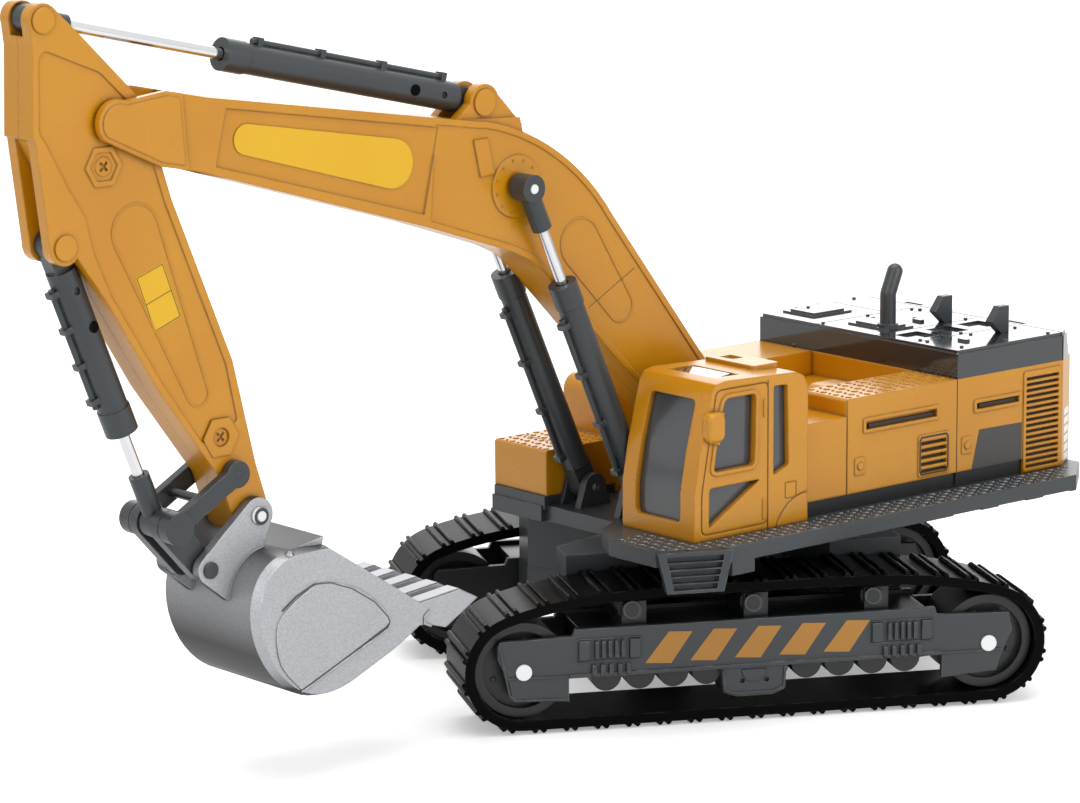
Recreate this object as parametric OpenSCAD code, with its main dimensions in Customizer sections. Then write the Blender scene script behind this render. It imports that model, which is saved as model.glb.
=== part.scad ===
// Toy excavator on rubber tracks, about 1:60, with a slewing house and a full set of working gear.
// Millimetres. +Z is up, the house faces -X and its cab side is -Y. All the pieces are drawn
// about the slewing pivot and moved as one by placed(), so that the origin is on the ground in
// the middle of the part. The tracks stand turned under the house, as in the photograph.
// Side outlines are drawn as [x, z] points and thickened along Y by slab().

/* [Stance] */
// Distance of the slewing pivot behind the origin, which is the middle of the part on the ground
slew_x = 51; // [50:0.5:52]
// Angle that the house is turned against the tracks at rest
slew_rest = 27.6; // [0:0.2:40]
// Distance of the boom's centre plane from the slewing pivot, to the right
boom_y = 2; // [1:0.5:3]

/* [Tracks] */
// Distance between the two axles of a track
wheel_base = 115; // [108:1:125]
// Outer radius of the belt round its wheels, without lugs
belt_r = 14.2; // [13.8:0.1:15]
// Thickness of the rubber belt
belt_t = 2.4; // [1.8:0.1:2.6]
// Width of the belt
belt_w = 22; // [20:0.5:24]
// Distance between the centre lines of the two tracks
track_gauge = 75; // [74:1:80]
// Angle on the wheel, from the horizontal, at which the top run leaves it
crown_angle = 71; // [69:1:73]
// Height of the lugs on the belt
lug_h = 0.9; // [0.6:0.1:1.1]
// Thickness of one lug
lug_t = 0.7; // [0.5:0.1:1]
// Distance between the two lugs of a pair
lug_gap = 2.1; // [1.6:0.1:2.6]
// Number of lug pairs round one belt
lug_pairs = 42; // [36:1:44]
// Clearance between the belt's inner face and the turning wheels
wheel_gap = 0.3; // [0.3:0.05:0.5]

/* [Track frame] */
// Thickness of the outer cover and the inner wall of the track frame
frame_wall = 1.6; // [1.2:0.1:2]
// Distance of the cover's face inside the belt's edge
cover_inset = 0.4; // [0.2:0.1:0.8]
// Height of the frame's underside flange above the ground
flange_z = 13; // [12.5:0.5:13.5]
// Height of the cover's top edge above the ground
cover_top_z = 24.7; // [24:0.1:25]
// Radius of the moulded road wheels
road_r = 3.7; // [3.2:0.1:3.9]
// Number of road wheels under one track frame
road_count = 10; // [8:1:10]
// Radius of the carrier rollers that hold up the top run
carrier_r = 3.4; // [3:0.1:3.6]
// Distance between neighbouring carrier rollers
carrier_pitch = 30; // [26:1:32]
// Radius of the steel axle pins
axle_r = 1.25; // [1:0.05:1.4]
// Radius of the axle pins' heads
axle_head_r = 1.95; // [1.8:0.05:2.2]

/* [Chassis] */
// Height of the top face of the car body
car_top_z = 37.5; // [36.5:0.5:38]
// Radius of the slewing ring under the deck
ring_r = 24; // [20:1:26]
// Radius of the pivot boss that turns in the car body
pivot_r = 6; // [5:0.5:7]

/* [Deck] */
// Height of the deck's walking surface
deck_z = 44.8; // [44:0.2:46]
// Thickness of the deck at its edge
deck_t = 4; // [3:0.5:4.5]
// Half width of the deck over the walkway on the cab's side
walk_y = 46; // [44:0.5:47]
// Distance that the deck reaches in front of the pivot
deck_front = 51; // [49:0.5:52]
// Lower end of the steps above the ground
steps_z = 34.7; // [34.7:0.1:37]
// Number of treads in the steps
step_count = 5; // [4:1:6]

/* [House] */
// Half width of the house
house_y = 35.8; // [34:0.2:37]
// Height of the tool box and the engine bay
bay_z = 72.1; // [70:0.5:74]
// Height of the low box behind the cab
low_box_z = 67.8; // [64:0.5:69]
// Thickness of the engine cover
cover_t = 7.1; // [5:0.5:8]
// Front face of the engine bay behind the pivot
bay_x = 51.3; // [48:0.5:54]
// Straight rear end of the house's sides behind the pivot
side_end_x = 89; // [86:0.5:92]
// Rear face of the house behind the pivot
rear_x = 97; // [94:0.5:99]
// Height of the tank in front of the right housing
tank_z = 58.6; // [56:0.5:61]
// Front face of the tank ahead of the pivot
tank_front = 38.5; // [37:0.5:39]
// Number of slats in the rear side grille
slat_count = 16; // [12:1:18]

/* [Cab] */
// Front of the cab's foot ahead of the pivot
cab_front = 38.8; // [37.5:0.2:39.5]
// Outer side of the cab from the pivot
cab_out_y = 38; // [37:0.2:39]
// Inner side of the cab from the pivot
cab_in_y = 12.4; // [12.4:0.1:14]
// Height of the cab's roof
cab_z = 82.6; // [80:0.2:85]
// Wall of the cab shell
cab_wall = 1.6; // [1.2:0.1:2]

/* [Boom] */
// Foot pivot, behind the slewing pivot
foot_x = 5; // [4:0.5:7]
// Foot pivot, above the ground
foot_z = 56; // [55:0.5:58]
// Distance from the foot pivot forward to the arm pivot
boom_reach = 183; // [180:1:188]
// Height of the arm pivot over the foot pivot
boom_rise = 98.5; // [96:0.5:100]
// Width of the boom
boom_w = 13.6; // [13.2:0.1:13.6]
// Thickness that the fork's cheeks stand proud of the boom
cheek_t = 0.8; // [0.4:0.1:1.2]
// Depth of the long recess in the boom's sides
recess_depth = 0.5; // [0.3:0.1:0.7]
// Thickness of the panel in that recess
panel_t = 0.3; // [0.1:0.05:0.3]

/* [Arm] */
// Width of the arm
arm_w = 11; // [10.4:0.1:11.2]
// Radius of the fork's slot round the arm pivot
slot_r = 19.5; // [19.5:0.5:21]
// Reach of the slot along the boom's underside, which lets the arm curl
slot_reach = 34; // [34:0.5:37]

/* [Bucket] */
// Width of the bucket over its side plates
bucket_w = 36; // [32:0.5:38]
// Thickness of the bucket's curved shell
shell_t = 1.7; // [1.4:0.1:2.2]
// Thickness of the bucket's side plates
side_t = 1.8; // [1.4:0.1:2.2]
// Number of teeth on the cutting edge
tooth_count = 5; // [4:1:6]
// Width of one tooth
tooth_w = 4.6; // [3.6:0.1:5]
// Thickness of the ears on the bucket
ear_t = 2.3; // [1.8:0.1:2.6]

/* [Cylinders] */
// Radius of the two boom tubes
boom_tube_r = 3.2; // [2.9:0.05:3.2]
// Radius of the tubes on the arm
arm_tube_r = 3.5; // [3.2:0.05:3.6]
// Thickness that a collar stands proud of its tube
collar_step = 0.3; // [0.1:0.05:0.35]
// Length of a collar
collar_len = 6; // [4:0.2:7]
// Distance from foot pivot to mouth of the boom tubes
boom_tube_len = 61; // [56:0.5:62]
// Distance from eye to mouth of the arm tube
arm_tube_len = 74; // [68:0.5:75]
// Distance from eye to mouth of the bucket tube
bucket_tube_len = 47; // [43:0.5:48]
// Radius of the chromed rods
rod_r = 1.35; // [1.1:0.05:1.5]
// Radial clearance of a rod in its tube
rod_gap = 0.25; // [0.15:0.05:0.35]
// Radius of the sockets that hold the rods
socket_r = 2.4; // [2.1:0.05:2.6]
// Radius of the cylinder eyes
eye_r = 3.1; // [2.9:0.1:3.2]
// Width of the cylinder eyes
eye_w = 4.2; // [3.8:0.1:4.2]

/* [Pins and fits] */
// Radius of the steel hinge pins
pin_r = 1.05; // [0.9:0.05:1.15]
// Radial clearance of a turning fit
fit = 0.08; // [0.05:0.01:0.1]
// Side clearance between neighbouring pieces that move
side_gap = 0.3; // [0.3:0.02:0.36]
// Play of the boom rods' stubs in their hidden sockets
boom_play = 1.35; // [1.35:0.05:1.5]
// Play of the arm rod's stubs in their hidden sockets
arm_play = 1.2; // [1.2:0.05:1.3]
// Play of the bucket rod's eye round the link pin
bucket_play = 1.45; // [1.45:0.05:1.5]
// Play of the link's lower eyes round their pin
link_play = 0.35; // [0.35:0.05:0.6]
// Thickness of the rocker's plates
rocker_t = 2.2; // [1.8:0.1:2.4]
// Radius of the bosses where rocker, link and rod meet
drum_r = 3.8; // [3.8:0.1:4.2]
// Radius of the pin heads
pin_head_r = 1.9; // [1.6:0.1:2.1]
// Thickness of the pin heads
pin_head_t = 0.5; // [0.3:0.1:0.7]
// Radius of the screw heads
screw_head_r = 2.2; // [2:0.1:2.4]
// Radius of the screw shanks
screw_r = 1; // [0.8:0.1:1.1]

/* [Hidden] */

$fn = 48;
eps = 0.01;
ORANGE = [0.85, 0.58, 0.26];
GREY = [0.29, 0.31, 0.33];
DARK = [0.2, 0.21, 0.22];
BLACK = [0.11, 0.11, 0.11];
STEEL = [0.8, 0.81, 0.82];
SILVER = [0.66, 0.67, 0.68];
YELLOW = [0.89, 0.7, 0.15];
GLASS = [0.33, 0.35, 0.37];

// ---- places on the tracks
axle_z = belt_r + lug_h;
front_axle = -wheel_base/2;
rear_axle = wheel_base/2;
belt_out_y = (track_gauge + belt_w)/2;
belt_in_y = (track_gauge - belt_w)/2;
cover_y = belt_out_y - cover_inset;
frame_in_y = belt_in_y + 0.5;
wheel_r = belt_r - belt_t - wheel_gap;
wheel_y0 = frame_in_y + frame_wall + 0.6;
wheel_y1 = cover_y - frame_wall - 0.6;
box_x = wheel_base/2 - wheel_r - 3;

// The top run is a fourth-power curve that meets the wheels' arcs at crown_angle.
crown_x = wheel_base/2 + belt_r*cos(crown_angle);
crown_foot_z = axle_z + belt_r*sin(crown_angle);
crown_slope = 1/tan(crown_angle);
function crown_z(x) = crown_foot_z + crown_x*crown_slope/4*(1 - pow(x/crown_x, 4));
function crown_normal(x) = 90 - atan(crown_slope*pow(x/crown_x, 3));

// ---- places on the house
deck_low_z = deck_z - deck_t;
cover_z = bay_z + cover_t;
deck_gap = deck_low_z - car_top_z;
boss_low_z = car_top_z - 7.8;

// ---- places on the boom, set from its foot or from the arm pivot
foot = [foot_x, foot_z];
arm_pivot = foot + [-boom_reach, boom_rise];
knee = foot + [-69.9, 73];
tube_foot = foot + [-34.5, -6.5];
bracket = knee + [-8, 20.3];

// ---- places on the arm
rod_top = arm_pivot + [-17.6, 23.6];
tube_top = arm_pivot + [-13.4, -26.2];
rocker_pivot = arm_pivot + [30, -82.3];
bucket_pivot = arm_pivot + [35.1, -92.4];
drum = rocker_pivot + [-17.2, -9.8];
link_foot = bucket_pivot + [-13.6, -10.6];

// Hidden sockets sit off the drawn eyes, so that straight ratios follow the real triangles
boom_socket = knee + [1.19, 0.37];

// ---- lengths of the cylinders, from eye to eye
boom_cyl_len = norm(knee - tube_foot);
arm_cyl_len = norm(rod_top - bracket);
bucket_cyl_len = norm(drum - tube_top);

// ---- half widths of the working gear, from the boom's centre plane
boom_y2 = boom_w/2;
arm_y2 = arm_w/2;
fork_y2 = arm_y2 + side_gap;
cheek_y2 = boom_y2 + cheek_t;
eye_y2 = eye_w/2;
slot_y2 = eye_y2 + side_gap;
plate_in = arm_y2 + side_gap;
rocker_out = plate_in + rocker_t;
tube_y = boom_y2 + side_gap + boom_tube_r + collar_step;

// Point at an angle on a circle, and a row of such points
function polar(c, r, a) = [c[0] + r*cos(a), c[1] + r*sin(a)];
function arc(c, r, a0, a1, n = 12) = [for (i = [0:n]) polar(c, r, a0 + (a1 - a0)*i/n)];
function heading(a, b) = atan2(b[1] - a[1], b[0] - a[0]);

// Closed outline that runs clockwise, drawn in by d along its edges
function unit(v) = v/norm(v);
function inset(p, d) = let (n = len(p)) [for (i = [0:n - 1])
    let (a = unit(p[i] - p[(i + n - 1)%n]), b = unit(p[(i + 1)%n] - p[i]), m = a + b)
    p[i] + d*[m[1], -m[0]]/(1 + a*b)];

// Outline with each corner rounded over a distance r
function rounded(p, r, n = 4) = let (m = len(p)) [for (i = [0:m - 1], k = [0:n])
    let (t = k/n, a = p[i] + r*unit(p[(i + m - 1)%m] - p[i]), b = p[i] + r*unit(p[(i + 1)%m] - p[i]))
    (1 - t)*(1 - t)*a + 2*t*(1 - t)*p[i] + t*t*b];

// Smooth row of points through the points p, n to a span
function through(p, n) = let (m = len(p) - 1) concat([for (i = [0:m - 1], k = [0:n - 1])
    let (t = k/n, a = p[max(i - 1, 0)], b = p[i], c = p[i + 1], d = p[min(i + 2, m)])
    b + 0.5*t*((c - a) + t*((2*a - 5*b + 4*c - d) + t*(3*b - a - 3*c + d)))], [p[m]]);

// Thickens an [x, z] outline from y0 to y1
module slab(y0, y1) {
    translate([0, y1, 0]) rotate([90, 0, 0]) linear_extrude(y1 - y0) children();
}

// Round bar along Y at an [x, z] place
module cross_bar(p, r, y0, y1) {
    translate([p[0], y0, p[1]]) rotate([-90, 0, 0]) cylinder(r = r, h = y1 - y0);
}

// Puts a piece that is drawn along +X at p, pointing from p to q
module aim(p, q, y = 0) {
    translate([p[0], y, p[1]]) rotate([0, -heading(p, q), 0]) children();
}

// Puts what is drawn about the slewing pivot in its place from the origin
module placed() {
    translate([slew_x, 0, 0]) children();
}

// Turns the undercarriage under the house
module on_tracks() {
    rotate([0, 0, -slew_rest]) children();
}

// Left side as drawn, right side mirrored
module on_side(side) {
    if (side < 0) children();
    else mirror([0, 1, 0]) children();
}

// Places a piece of the working gear that is drawn on the left of the boom's centre plane
module on_gear(side) {
    translate([0, boom_y, 0])
        if (side < 0) children();
        else mirror([0, 1, 0]) children();
}

// ================= tracks

// Outline of the belt, shrunk inwards by d
module belt_outline(d) {
    run = [for (i = [16:-1:-16])
        let (x = crown_x*i/16, a = crown_normal(x)) [x - d*cos(a), crown_z(x) - d*sin(a)]];
    polygon(concat(arc([rear_axle, axle_z], belt_r - d, -90, crown_angle, 24), run,
        arc([front_axle, axle_z], belt_r - d, 180 - crown_angle, 270, 24)));
}

// Place and outward angle on the belt's outer face at a distance s along it
wheel_run = belt_r*(crown_angle + 90)*PI/180;
crown_run = 2*crown_x*(1 + crown_slope*crown_slope/14);
belt_run = wheel_base + 2*wheel_run + crown_run;
function belt_station(s) =
    s < wheel_base ? [front_axle + s, axle_z - belt_r, -90]
    : s < wheel_base + wheel_run
        ? let (a = -90 + (s - wheel_base)/belt_r*180/PI)
            concat(polar([rear_axle, axle_z], belt_r, a), [a])
    : s < wheel_base + wheel_run + crown_run
        ? let (x = crown_x*(1 - 2*(s - wheel_base - wheel_run)/crown_run))
            [x, crown_z(x), crown_normal(x)]
    : let (a = 180 - crown_angle + (s - wheel_base - wheel_run - crown_run)/belt_r*180/PI)
        concat(polar([front_axle, axle_z], belt_r, a), [a]);

// One lug rib across the belt, with its ends cut back
module lug() {
    root = 0.6;
    rotate([90, 0, 0]) linear_extrude(lug_t, center = true)
        polygon([[-belt_w/2 + 0.3, -root], [belt_w/2 - 0.3, -root],
            [belt_w/2 - 2.2, lug_h], [-belt_w/2 + 2.2, lug_h]]);
}

module track_belt(side) {
    color(BLACK) placed() on_tracks() on_side(side) {
        difference() {
            slab(-belt_out_y, -belt_in_y) belt_outline(0);
            slab(-belt_out_y - 1, -belt_in_y + 1) belt_outline(belt_t);
        }
        for (i = [0:lug_pairs - 1], k = [-0.5, 0.5]) {
            p = belt_station((i + 0.5)*belt_run/lug_pairs + k*lug_gap);
            translate([p[0], -track_gauge/2, p[1]]) rotate([0, 90 - p[2], 0]) rotate([0, 0, 90]) lug();
        }
    }
}

// Wheel with a dished face, a rim and a ring of small bolt heads
module track_wheel(side, x, bolts) {
    bore = axle_r + fit;
    dish = 2.2;
    color(BLACK) placed() on_tracks() on_side(side) difference() {
        union() {
            difference() {
                cross_bar([x, axle_z], wheel_r, -wheel_y1, -wheel_y0);
                cross_bar([x, axle_z], wheel_r - 2.2, -wheel_y1 - 1, -wheel_y1 + dish);
                cross_bar([x, axle_z], wheel_r - 2.2, -wheel_y0 - dish, -wheel_y0 + 1);
            }
            cross_bar([x, axle_z], 3.4, -wheel_y1, -wheel_y0);
            for (a = [0:360/bolts:359])
                cross_bar(polar([x, axle_z], wheel_r - 4.6, a + 20), 0.6, -wheel_y1 + dish - 0.5,
                    -wheel_y1 + dish + 1);
        }
        cross_bar([x, axle_z], bore, -wheel_y1 - 1, -wheel_y0 + 1);
    }
}

// Side outline shared by the cover and the inner wall of the track frame
function frame_outline() = let (e = wheel_base/2) [
    [-e - 5.2, 22.7], [-e + 12, 23], [-e + 12.8, cover_top_z], [e - 13.5, cover_top_z],
    [e - 13, 22.8], [e + 5.2, 22.5], [e + 5.9, 18], [e + 3.6, flange_z - 0.4],
    [e + 2, 8.2], [e - 11.7, 7.3], [e - 11.7, flange_z], [-e + 11, flange_z],
    [-e + 11, 7.3], [-e - 2.6, 8.1], [-e - 3.6, flange_z - 0.3], [-e - 6.2, 18.5], [-e - 6.2, 21.5]];

// Foot in the middle of the underside
function foot_outline() = [[-9.3, flange_z + 1], [-8.6, 7], [-5.5, 5.8], [3.5, 5.8], [6.4, 7],
    [7.2, flange_z + 1]];

module track_frame(side) {
    web = 3;
    color(DARK) placed() on_tracks() on_side(side) difference() {
        union() {
            slab(-frame_in_y - frame_wall, -frame_in_y) polygon(frame_outline());
            // Box between the wheels that carries the cover
            slab(-cover_y + frame_wall, -frame_in_y - frame_wall)
                polygon([[-box_x, flange_z], [box_x, flange_z], [box_x, cover_top_z - 1],
                    [-box_x, cover_top_z - 1]]);
            slab(-cover_y + frame_wall, -cover_y + 8) polygon(foot_outline());
            // Road wheels, moulded with the frame
            for (i = [0:road_count - 1]) {
                x = (i - (road_count - 1)/2)*(box_x*2 - road_r)/road_count;
                cross_bar([x, flange_z - 0.4], road_r, -cover_y + frame_wall, -frame_in_y - frame_wall);
            }
            // Carrier rollers on their brackets, cut to the run that they hold up
            for (x = [-1, 0, 1]*carrier_pitch) {
                z = crown_z(x) - belt_t - carrier_r;
                intersection() {
                    cross_bar([x, z], carrier_r + 0.1, -cover_y + 4, -frame_in_y - 3);
                    slab(-belt_out_y, -belt_in_y) belt_outline(belt_t);
                }
                cross_bar([x, z], 2, -cover_y + 1, -cover_y + 4);
                slab(-cover_y + 2.6, -frame_in_y - frame_wall)
                    translate([x - web, cover_top_z - 2]) square([2*web, z - cover_top_z + 4.4]);
            }
        }
        for (x = [front_axle, rear_axle])
            cross_bar([x, axle_z], axle_r, -frame_in_y - frame_wall - 1, -frame_in_y + 1);
    }
}

// Raised vent block with a row of ribs
module cover_vent(x, z) {
    w = 15;
    h = 4.8;
    translate([x - w/2, z]) square([2.6, h]);
    translate([x + w/2 - 2.6, z]) square([2.6, h]);
    for (i = [0:4]) translate([x - 3.5 + i*1.6, z + 0.4]) square([0.7, h - 0.8]);
}

module track_cover(side) {
    proud = 0.5;
    color(GREY) placed() on_tracks() on_side(side) difference() {
        union() {
            slab(-cover_y, -cover_y + frame_wall) polygon(frame_outline());
            slab(-cover_y - proud, -cover_y + eps) {
                translate([-wheel_base/2 + 11, flange_z]) square([wheel_base - 22.7, 0.9]);
                cover_vent(-wheel_base/2 + 20.8, 17.1);
                cover_vent(wheel_base/2 - 21.9, 17.1);
                for (e = [-1, 1], i = [0:4])
                    translate([e*36 - 5 + i*2.1, flange_z + 0.9]) square([1, 2.2]);
            }
            slab(-cover_y, -cover_y + frame_wall) polygon(foot_outline());
        }
        for (x = [front_axle, rear_axle])
            cross_bar([x, axle_z], axle_r, -cover_y - 1, -cover_y + frame_wall + 1);
        for (x = [-4, 2]) cross_bar([x, 9.6], 0.6, -cover_y - 1, -cover_y + 1);
    }
}

module axle_pins(side) {
    color(STEEL) placed() on_tracks() on_side(side)
        for (x = [front_axle, rear_axle]) {
            cross_bar([x, axle_z], axle_r, -cover_y - eps, -frame_in_y);
            cross_bar([x, axle_z], axle_head_r, -cover_y - 0.5, -cover_y);
        }
}

// ================= chassis

// Quarter of the car body's X-shaped plan
module leg_plan(y) {
    for (sx = [0, 1], sy = [0, 1]) mirror([sx, 0]) mirror([0, sy])
        polygon([[0, 0], [20, 0], [42, y - 10], [42, y], [24, y], [12, 14], [0, 14]]);
}

module car_body() {
    top_y = belt_in_y - 0.4;
    shelf_z = 25;
    foot_low_z = flange_z + 1;
    counter_r = pivot_r + 4;
    color(BLACK) placed() on_tracks() difference() {
        union() {
            translate([0, 0, shelf_z]) linear_extrude(car_top_z - shelf_z) leg_plan(top_y);
            translate([0, 0, foot_low_z]) linear_extrude(shelf_z - foot_low_z) leg_plan(frame_in_y);
            translate([0, 0, foot_low_z]) cylinder(r = ring_r - 2, h = car_top_z - foot_low_z);
        }
        translate([0, 0, -1]) cylinder(r = counter_r, h = boss_low_z + 1.3);
        translate([0, 0, foot_low_z]) cylinder(r = pivot_r + fit, h = car_top_z);
    }
}

// Ring that the deck runs on
module slew_ring() {
    groove = 0.8;
    ring_top = deck_gap - side_gap;
    color(DARK) placed() translate([0, 0, car_top_z]) difference() {
        cylinder(r = ring_r, h = ring_top);
        translate([0, 0, -1]) cylinder(r = pivot_r + 6, h = ring_top + 2);
        translate([0, 0, ring_top/2 - groove/2]) difference() {
            cylinder(r = ring_r + 1, h = groove);
            cylinder(r = ring_r - groove, h = groove);
        }
    }
}

// ================= deck

function deck_plan() = [
    [-deck_front, -21.4], [-deck_front, 8.3 - walk_y], [16.5 - deck_front, -walk_y],
    [side_end_x - 5, -walk_y], [rear_x - 1, -house_y], [rear_x - 1, house_y],
    [-tank_front - 1, house_y], [-tank_front - 1, 17], [-38, 17], [-38, -8], [5.5 - deck_front, -12.4]];

// Pair of lugs round a pin on the deck, drawn on the left of the boom's centre plane
module deck_lug(p, r, y0, y1, back) {
    slab(-y1, -y0) polygon(concat([[p[0] + r + back, deck_z - 1], [p[0] - r - 2, deck_z - 1]],
        arc(p, r, 180, 0, 16)));
}

module deck() {
    rim = 0.8;
    eye_in = tube_y - eye_y2 - side_gap;
    eye_out = tube_y + eye_y2 + side_gap;
    color(GREY) placed() difference() {
        union() {
            translate([0, 0, deck_low_z]) linear_extrude(deck_t) polygon(deck_plan());
            // Pivot boss that goes down through the car body
            translate([0, 0, boss_low_z]) cylinder(r = pivot_r, h = deck_low_z - boss_low_z + 1);
            // Base under the tank
            translate([-tank_front - 0.6, 16.2, deck_z - 1]) cube([22.4, house_y - 16.6, 3.4]);
            // Skirt block behind the steps
            translate([-34, -walk_y, deck_low_z - 3.2]) cube([7.2, 5, 4]);
            // Lugs for the boom's foot and for the two boom tubes
            for (side = [-1, 1]) on_gear(side) {
                deck_lug(foot, 6, boom_y2 + side_gap, boom_y2 + side_gap + 2.4, 3);
                deck_lug(tube_foot, 3.4, eye_in - 2, eye_in, 2);
                deck_lug(tube_foot, 3.4, eye_out, eye_out + 1.1, 2);
            }
        }
        translate([0, 0, boss_low_z - 1]) cylinder(r = screw_r, h = 8);
        translate([0, boom_y, 0]) cross_bar(foot, 1.6, -boom_w, boom_w);
        translate([0, boom_y, 0]) cross_bar(tube_foot, pin_r, -boom_w*1.5, boom_w*1.5);
        // Shallow rim round the edge of the underside
        translate([0, 0, deck_low_z - 0.5]) linear_extrude(1)
            for (x = [40, 56, 72]) translate([x, -walk_y - 1]) square([10, 1 + rim]);
    }
}

module slew_washer() {
    color(STEEL) placed() translate([0, 0, boss_low_z - 1.2]) difference() {
        cylinder(r = pivot_r + 3, h = 1.2);
        translate([0, 0, -1]) cylinder(r = screw_r, h = 4);
    }
}

module slew_screw() {
    slot_w = 0.7;
    color(STEEL) placed() translate([0, 0, boss_low_z - 1.2]) difference() {
        union() {
            translate([0, 0, -1.4]) cylinder(r = screw_head_r + 1, h = 1.4);
            cylinder(r = screw_r, h = 7);
        }
        for (a = [0, 90]) rotate([0, 0, a])
            translate([-2, -slot_w/2, -2]) cube([4, slot_w, 1.3]);
    }
}

// Hanging steps on the deck's front corner
module steps() {
    a = deck_plan()[1];
    b = deck_plan()[2];
    w = norm(b - a);
    t = 2.5;
    h = deck_z - 0.2 - steps_z;
    rail = 2;
    taper = w/8;
    color(GREY) placed() translate([a[0], a[1], deck_z - 0.2]) rotate([0, 0, heading(a, b)])
        rotate([90, 0, 0]) difference() {
            linear_extrude(t) polygon([[0, 0], [w, 0], [w - taper, -h], [taper, -h]]);
            for (i = [0:step_count - 1]) {
                z = -1 - i*(h - 1.5)/step_count;
                inset = rail - z*taper/h;
                translate([0, 0, 0.8]) linear_extrude(t) polygon([[inset, z], [w - inset, z],
                    [w - inset - 0.2, z - 1.4], [inset + 0.2, z - 1.4]]);
            }
        }
}

// ================= cab

// Side outline of the cab, shrunk inwards by d
function cab_profile(d) = [
    [-cab_front + d, deck_z], [-cab_front + d, 56], [-37 + d, 66], [-33.2 + d, cab_z - 2.4],
    [-31.8 + d, cab_z - 0.6 - d/2], [-29 + d/2, cab_z - d], [-6, cab_z - 0.8 - d],
    [-3.4 - d/2, cab_z - 2 - d], [-2 - d, cab_z - 5], [-2 - d, deck_z]];

function door_window() = rounded([[-29.2, 78.4], [-19.2, 78.4], [-19.6, 61], [-33, 61], [-30.9, 73]], 1.4);
function low_window() = rounded([[-34, 57.3], [-17.4, 57.3], [-34.2, 47.4]], 1.1);
function rear_window() = rounded([[-13.3, 79.4], [-8.7, 79.1], [-8.2, 59.4], [-13.3, 57.4]], 0.8);
function door_outline() = rounded([[-31.6, 80.4], [-15.3, 80.4], [-15.3, 46.4], [-36.3, 46.4], [-36.3, 56],
    [-34.2, 67]], 1.5);

module cab_shell() {
    groove = 0.35;
    bead = 0.35;
    color(ORANGE) placed() difference() {
        union() {
            slab(-cab_out_y, -cab_in_y) polygon(cab_profile(0));
            // Bead round the door's window
            slab(-cab_out_y - bead, -cab_out_y + eps) polygon(inset(door_window(), -1));
            // Mirror, moulded on the door's front post
            slab(-cab_out_y - 1.2, -cab_out_y + eps)
                polygon([[-34.2, 68.4], [-33.6, 74.8], [-30.4, 75.4], [-29, 73.8], [-29.6, 68.6], [-31, 67.4]]);
            // Hatch on the roof
            translate([0, 0, cab_z - 2]) linear_extrude(2.4)
                polygon(rounded([[-13, -13], [-4.6, -13], [-4.6, -30.6], [-13, -30.6]], 1.2));
        }
        // Grip sunk in the hatch
        translate([-10.6, -20.6, cab_z - 0.2]) cube([3.6, 4.6, 1]);
        slab(-cab_out_y + cab_wall, -cab_in_y - cab_wall) polygon(cab_profile(cab_wall));
        // Windscreen, with its corners rounded
        translate([-45, 0, 0]) rotate([90, 0, 90]) linear_extrude(15)
            polygon(rounded([[-cab_out_y + 5, 78], [-cab_in_y - 4.6, 78], [-cab_in_y - 4.6, 48.8],
                [-cab_out_y + 5, 48.8]], 1.6));
        // Side windows, through both sides
        for (w = [door_window(), low_window(), rear_window()])
            slab(-cab_out_y - 2, -cab_in_y + 2) polygon(w);
        // Roof window
        translate([-28.5, -cab_out_y + 5, cab_z - 2.4]) cube([8.6, cab_out_y - cab_in_y - 9.6, 4]);
        // Seam round the door, and the seams of the panels behind it
        difference() {
            slab(-cab_out_y - 1, -cab_out_y + groove) polygon(inset(door_outline(), -groove));
            slab(-cab_out_y - 2, -cab_out_y + 1) polygon(door_outline());
        }
        slab(-cab_out_y - 1, -cab_out_y + groove) {
            translate([-15.3, deck_z]) square([groove, cab_z - deck_z - 1.6]);
            polygon(concat(arc([-2, 41], 11.2, 90, 160, 8), arc([-2, 41], 11.2 - groove, 160, 90, 8)));
        }
        // Lock plate, outlined by its groove
        difference() {
            slab(-cab_out_y - 1, -cab_out_y + 0.2) polygon(rounded(plate_corners([-7.6, 53.2], 3.9, 4.2), 0.7));
            slab(-cab_out_y - 2, -cab_out_y + 1)
                polygon(inset(rounded(plate_corners([-7.6, 53.2], 3.9, 4.2), 0.7), 0.3));
        }
    }
}

// Dark glazing insert that fills the cab
module cab_windows() {
    color(GLASS) placed() slab(-cab_out_y + cab_wall, -cab_in_y - cab_wall) polygon(cab_profile(cab_wall));
}

// ================= house

// Corners of an upright plate round the point p, clockwise
function plate_corners(p, w, h) = [p + [-w/2, h/2], p + [w/2, h/2], p + [w/2, -h/2], p + [-w/2, -h/2]];

// Raised rims on the left side, round a slot or a grille from x0 to x1 and z0 to z1
rim_t = 0.35;
rim_w = 0.9;
module side_rim(x0, x1, z0, z1) {
    slab(-house_y - rim_t, -house_y + eps) polygon(rounded(
        inset([[x0, z1], [x1, z1], [x1, z0], [x0, z0]], -rim_w), 0.7, 2));
}

// Long slot, sunk in the left side
module side_slot(x0, x1, z0, z1) {
    slab(-house_y - 1, -house_y + 1.2) polygon([[x0, z0], [x1, z0], [x1, z1], [x0, z1]]);
}

// Sunk grille with level slats, cut from the left side
module side_grille(x0, x1, z0, z1, n) {
    step = (z1 - z0)/n;
    for (i = [0:n - 1])
        slab(-house_y - 1, -house_y + 1)
            translate([x0, z0 + i*step]) square([x1 - x0, step*0.55]);
}

// Round lock on a raised square plate
module side_lock(x, z) {
    slab(-house_y - 0.25, -house_y + eps) polygon(rounded(plate_corners([x, z], 3.6, 4.4), 0.5, 2));
    cross_bar([x, z], 1, -house_y - 0.6, -house_y);
}

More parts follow.
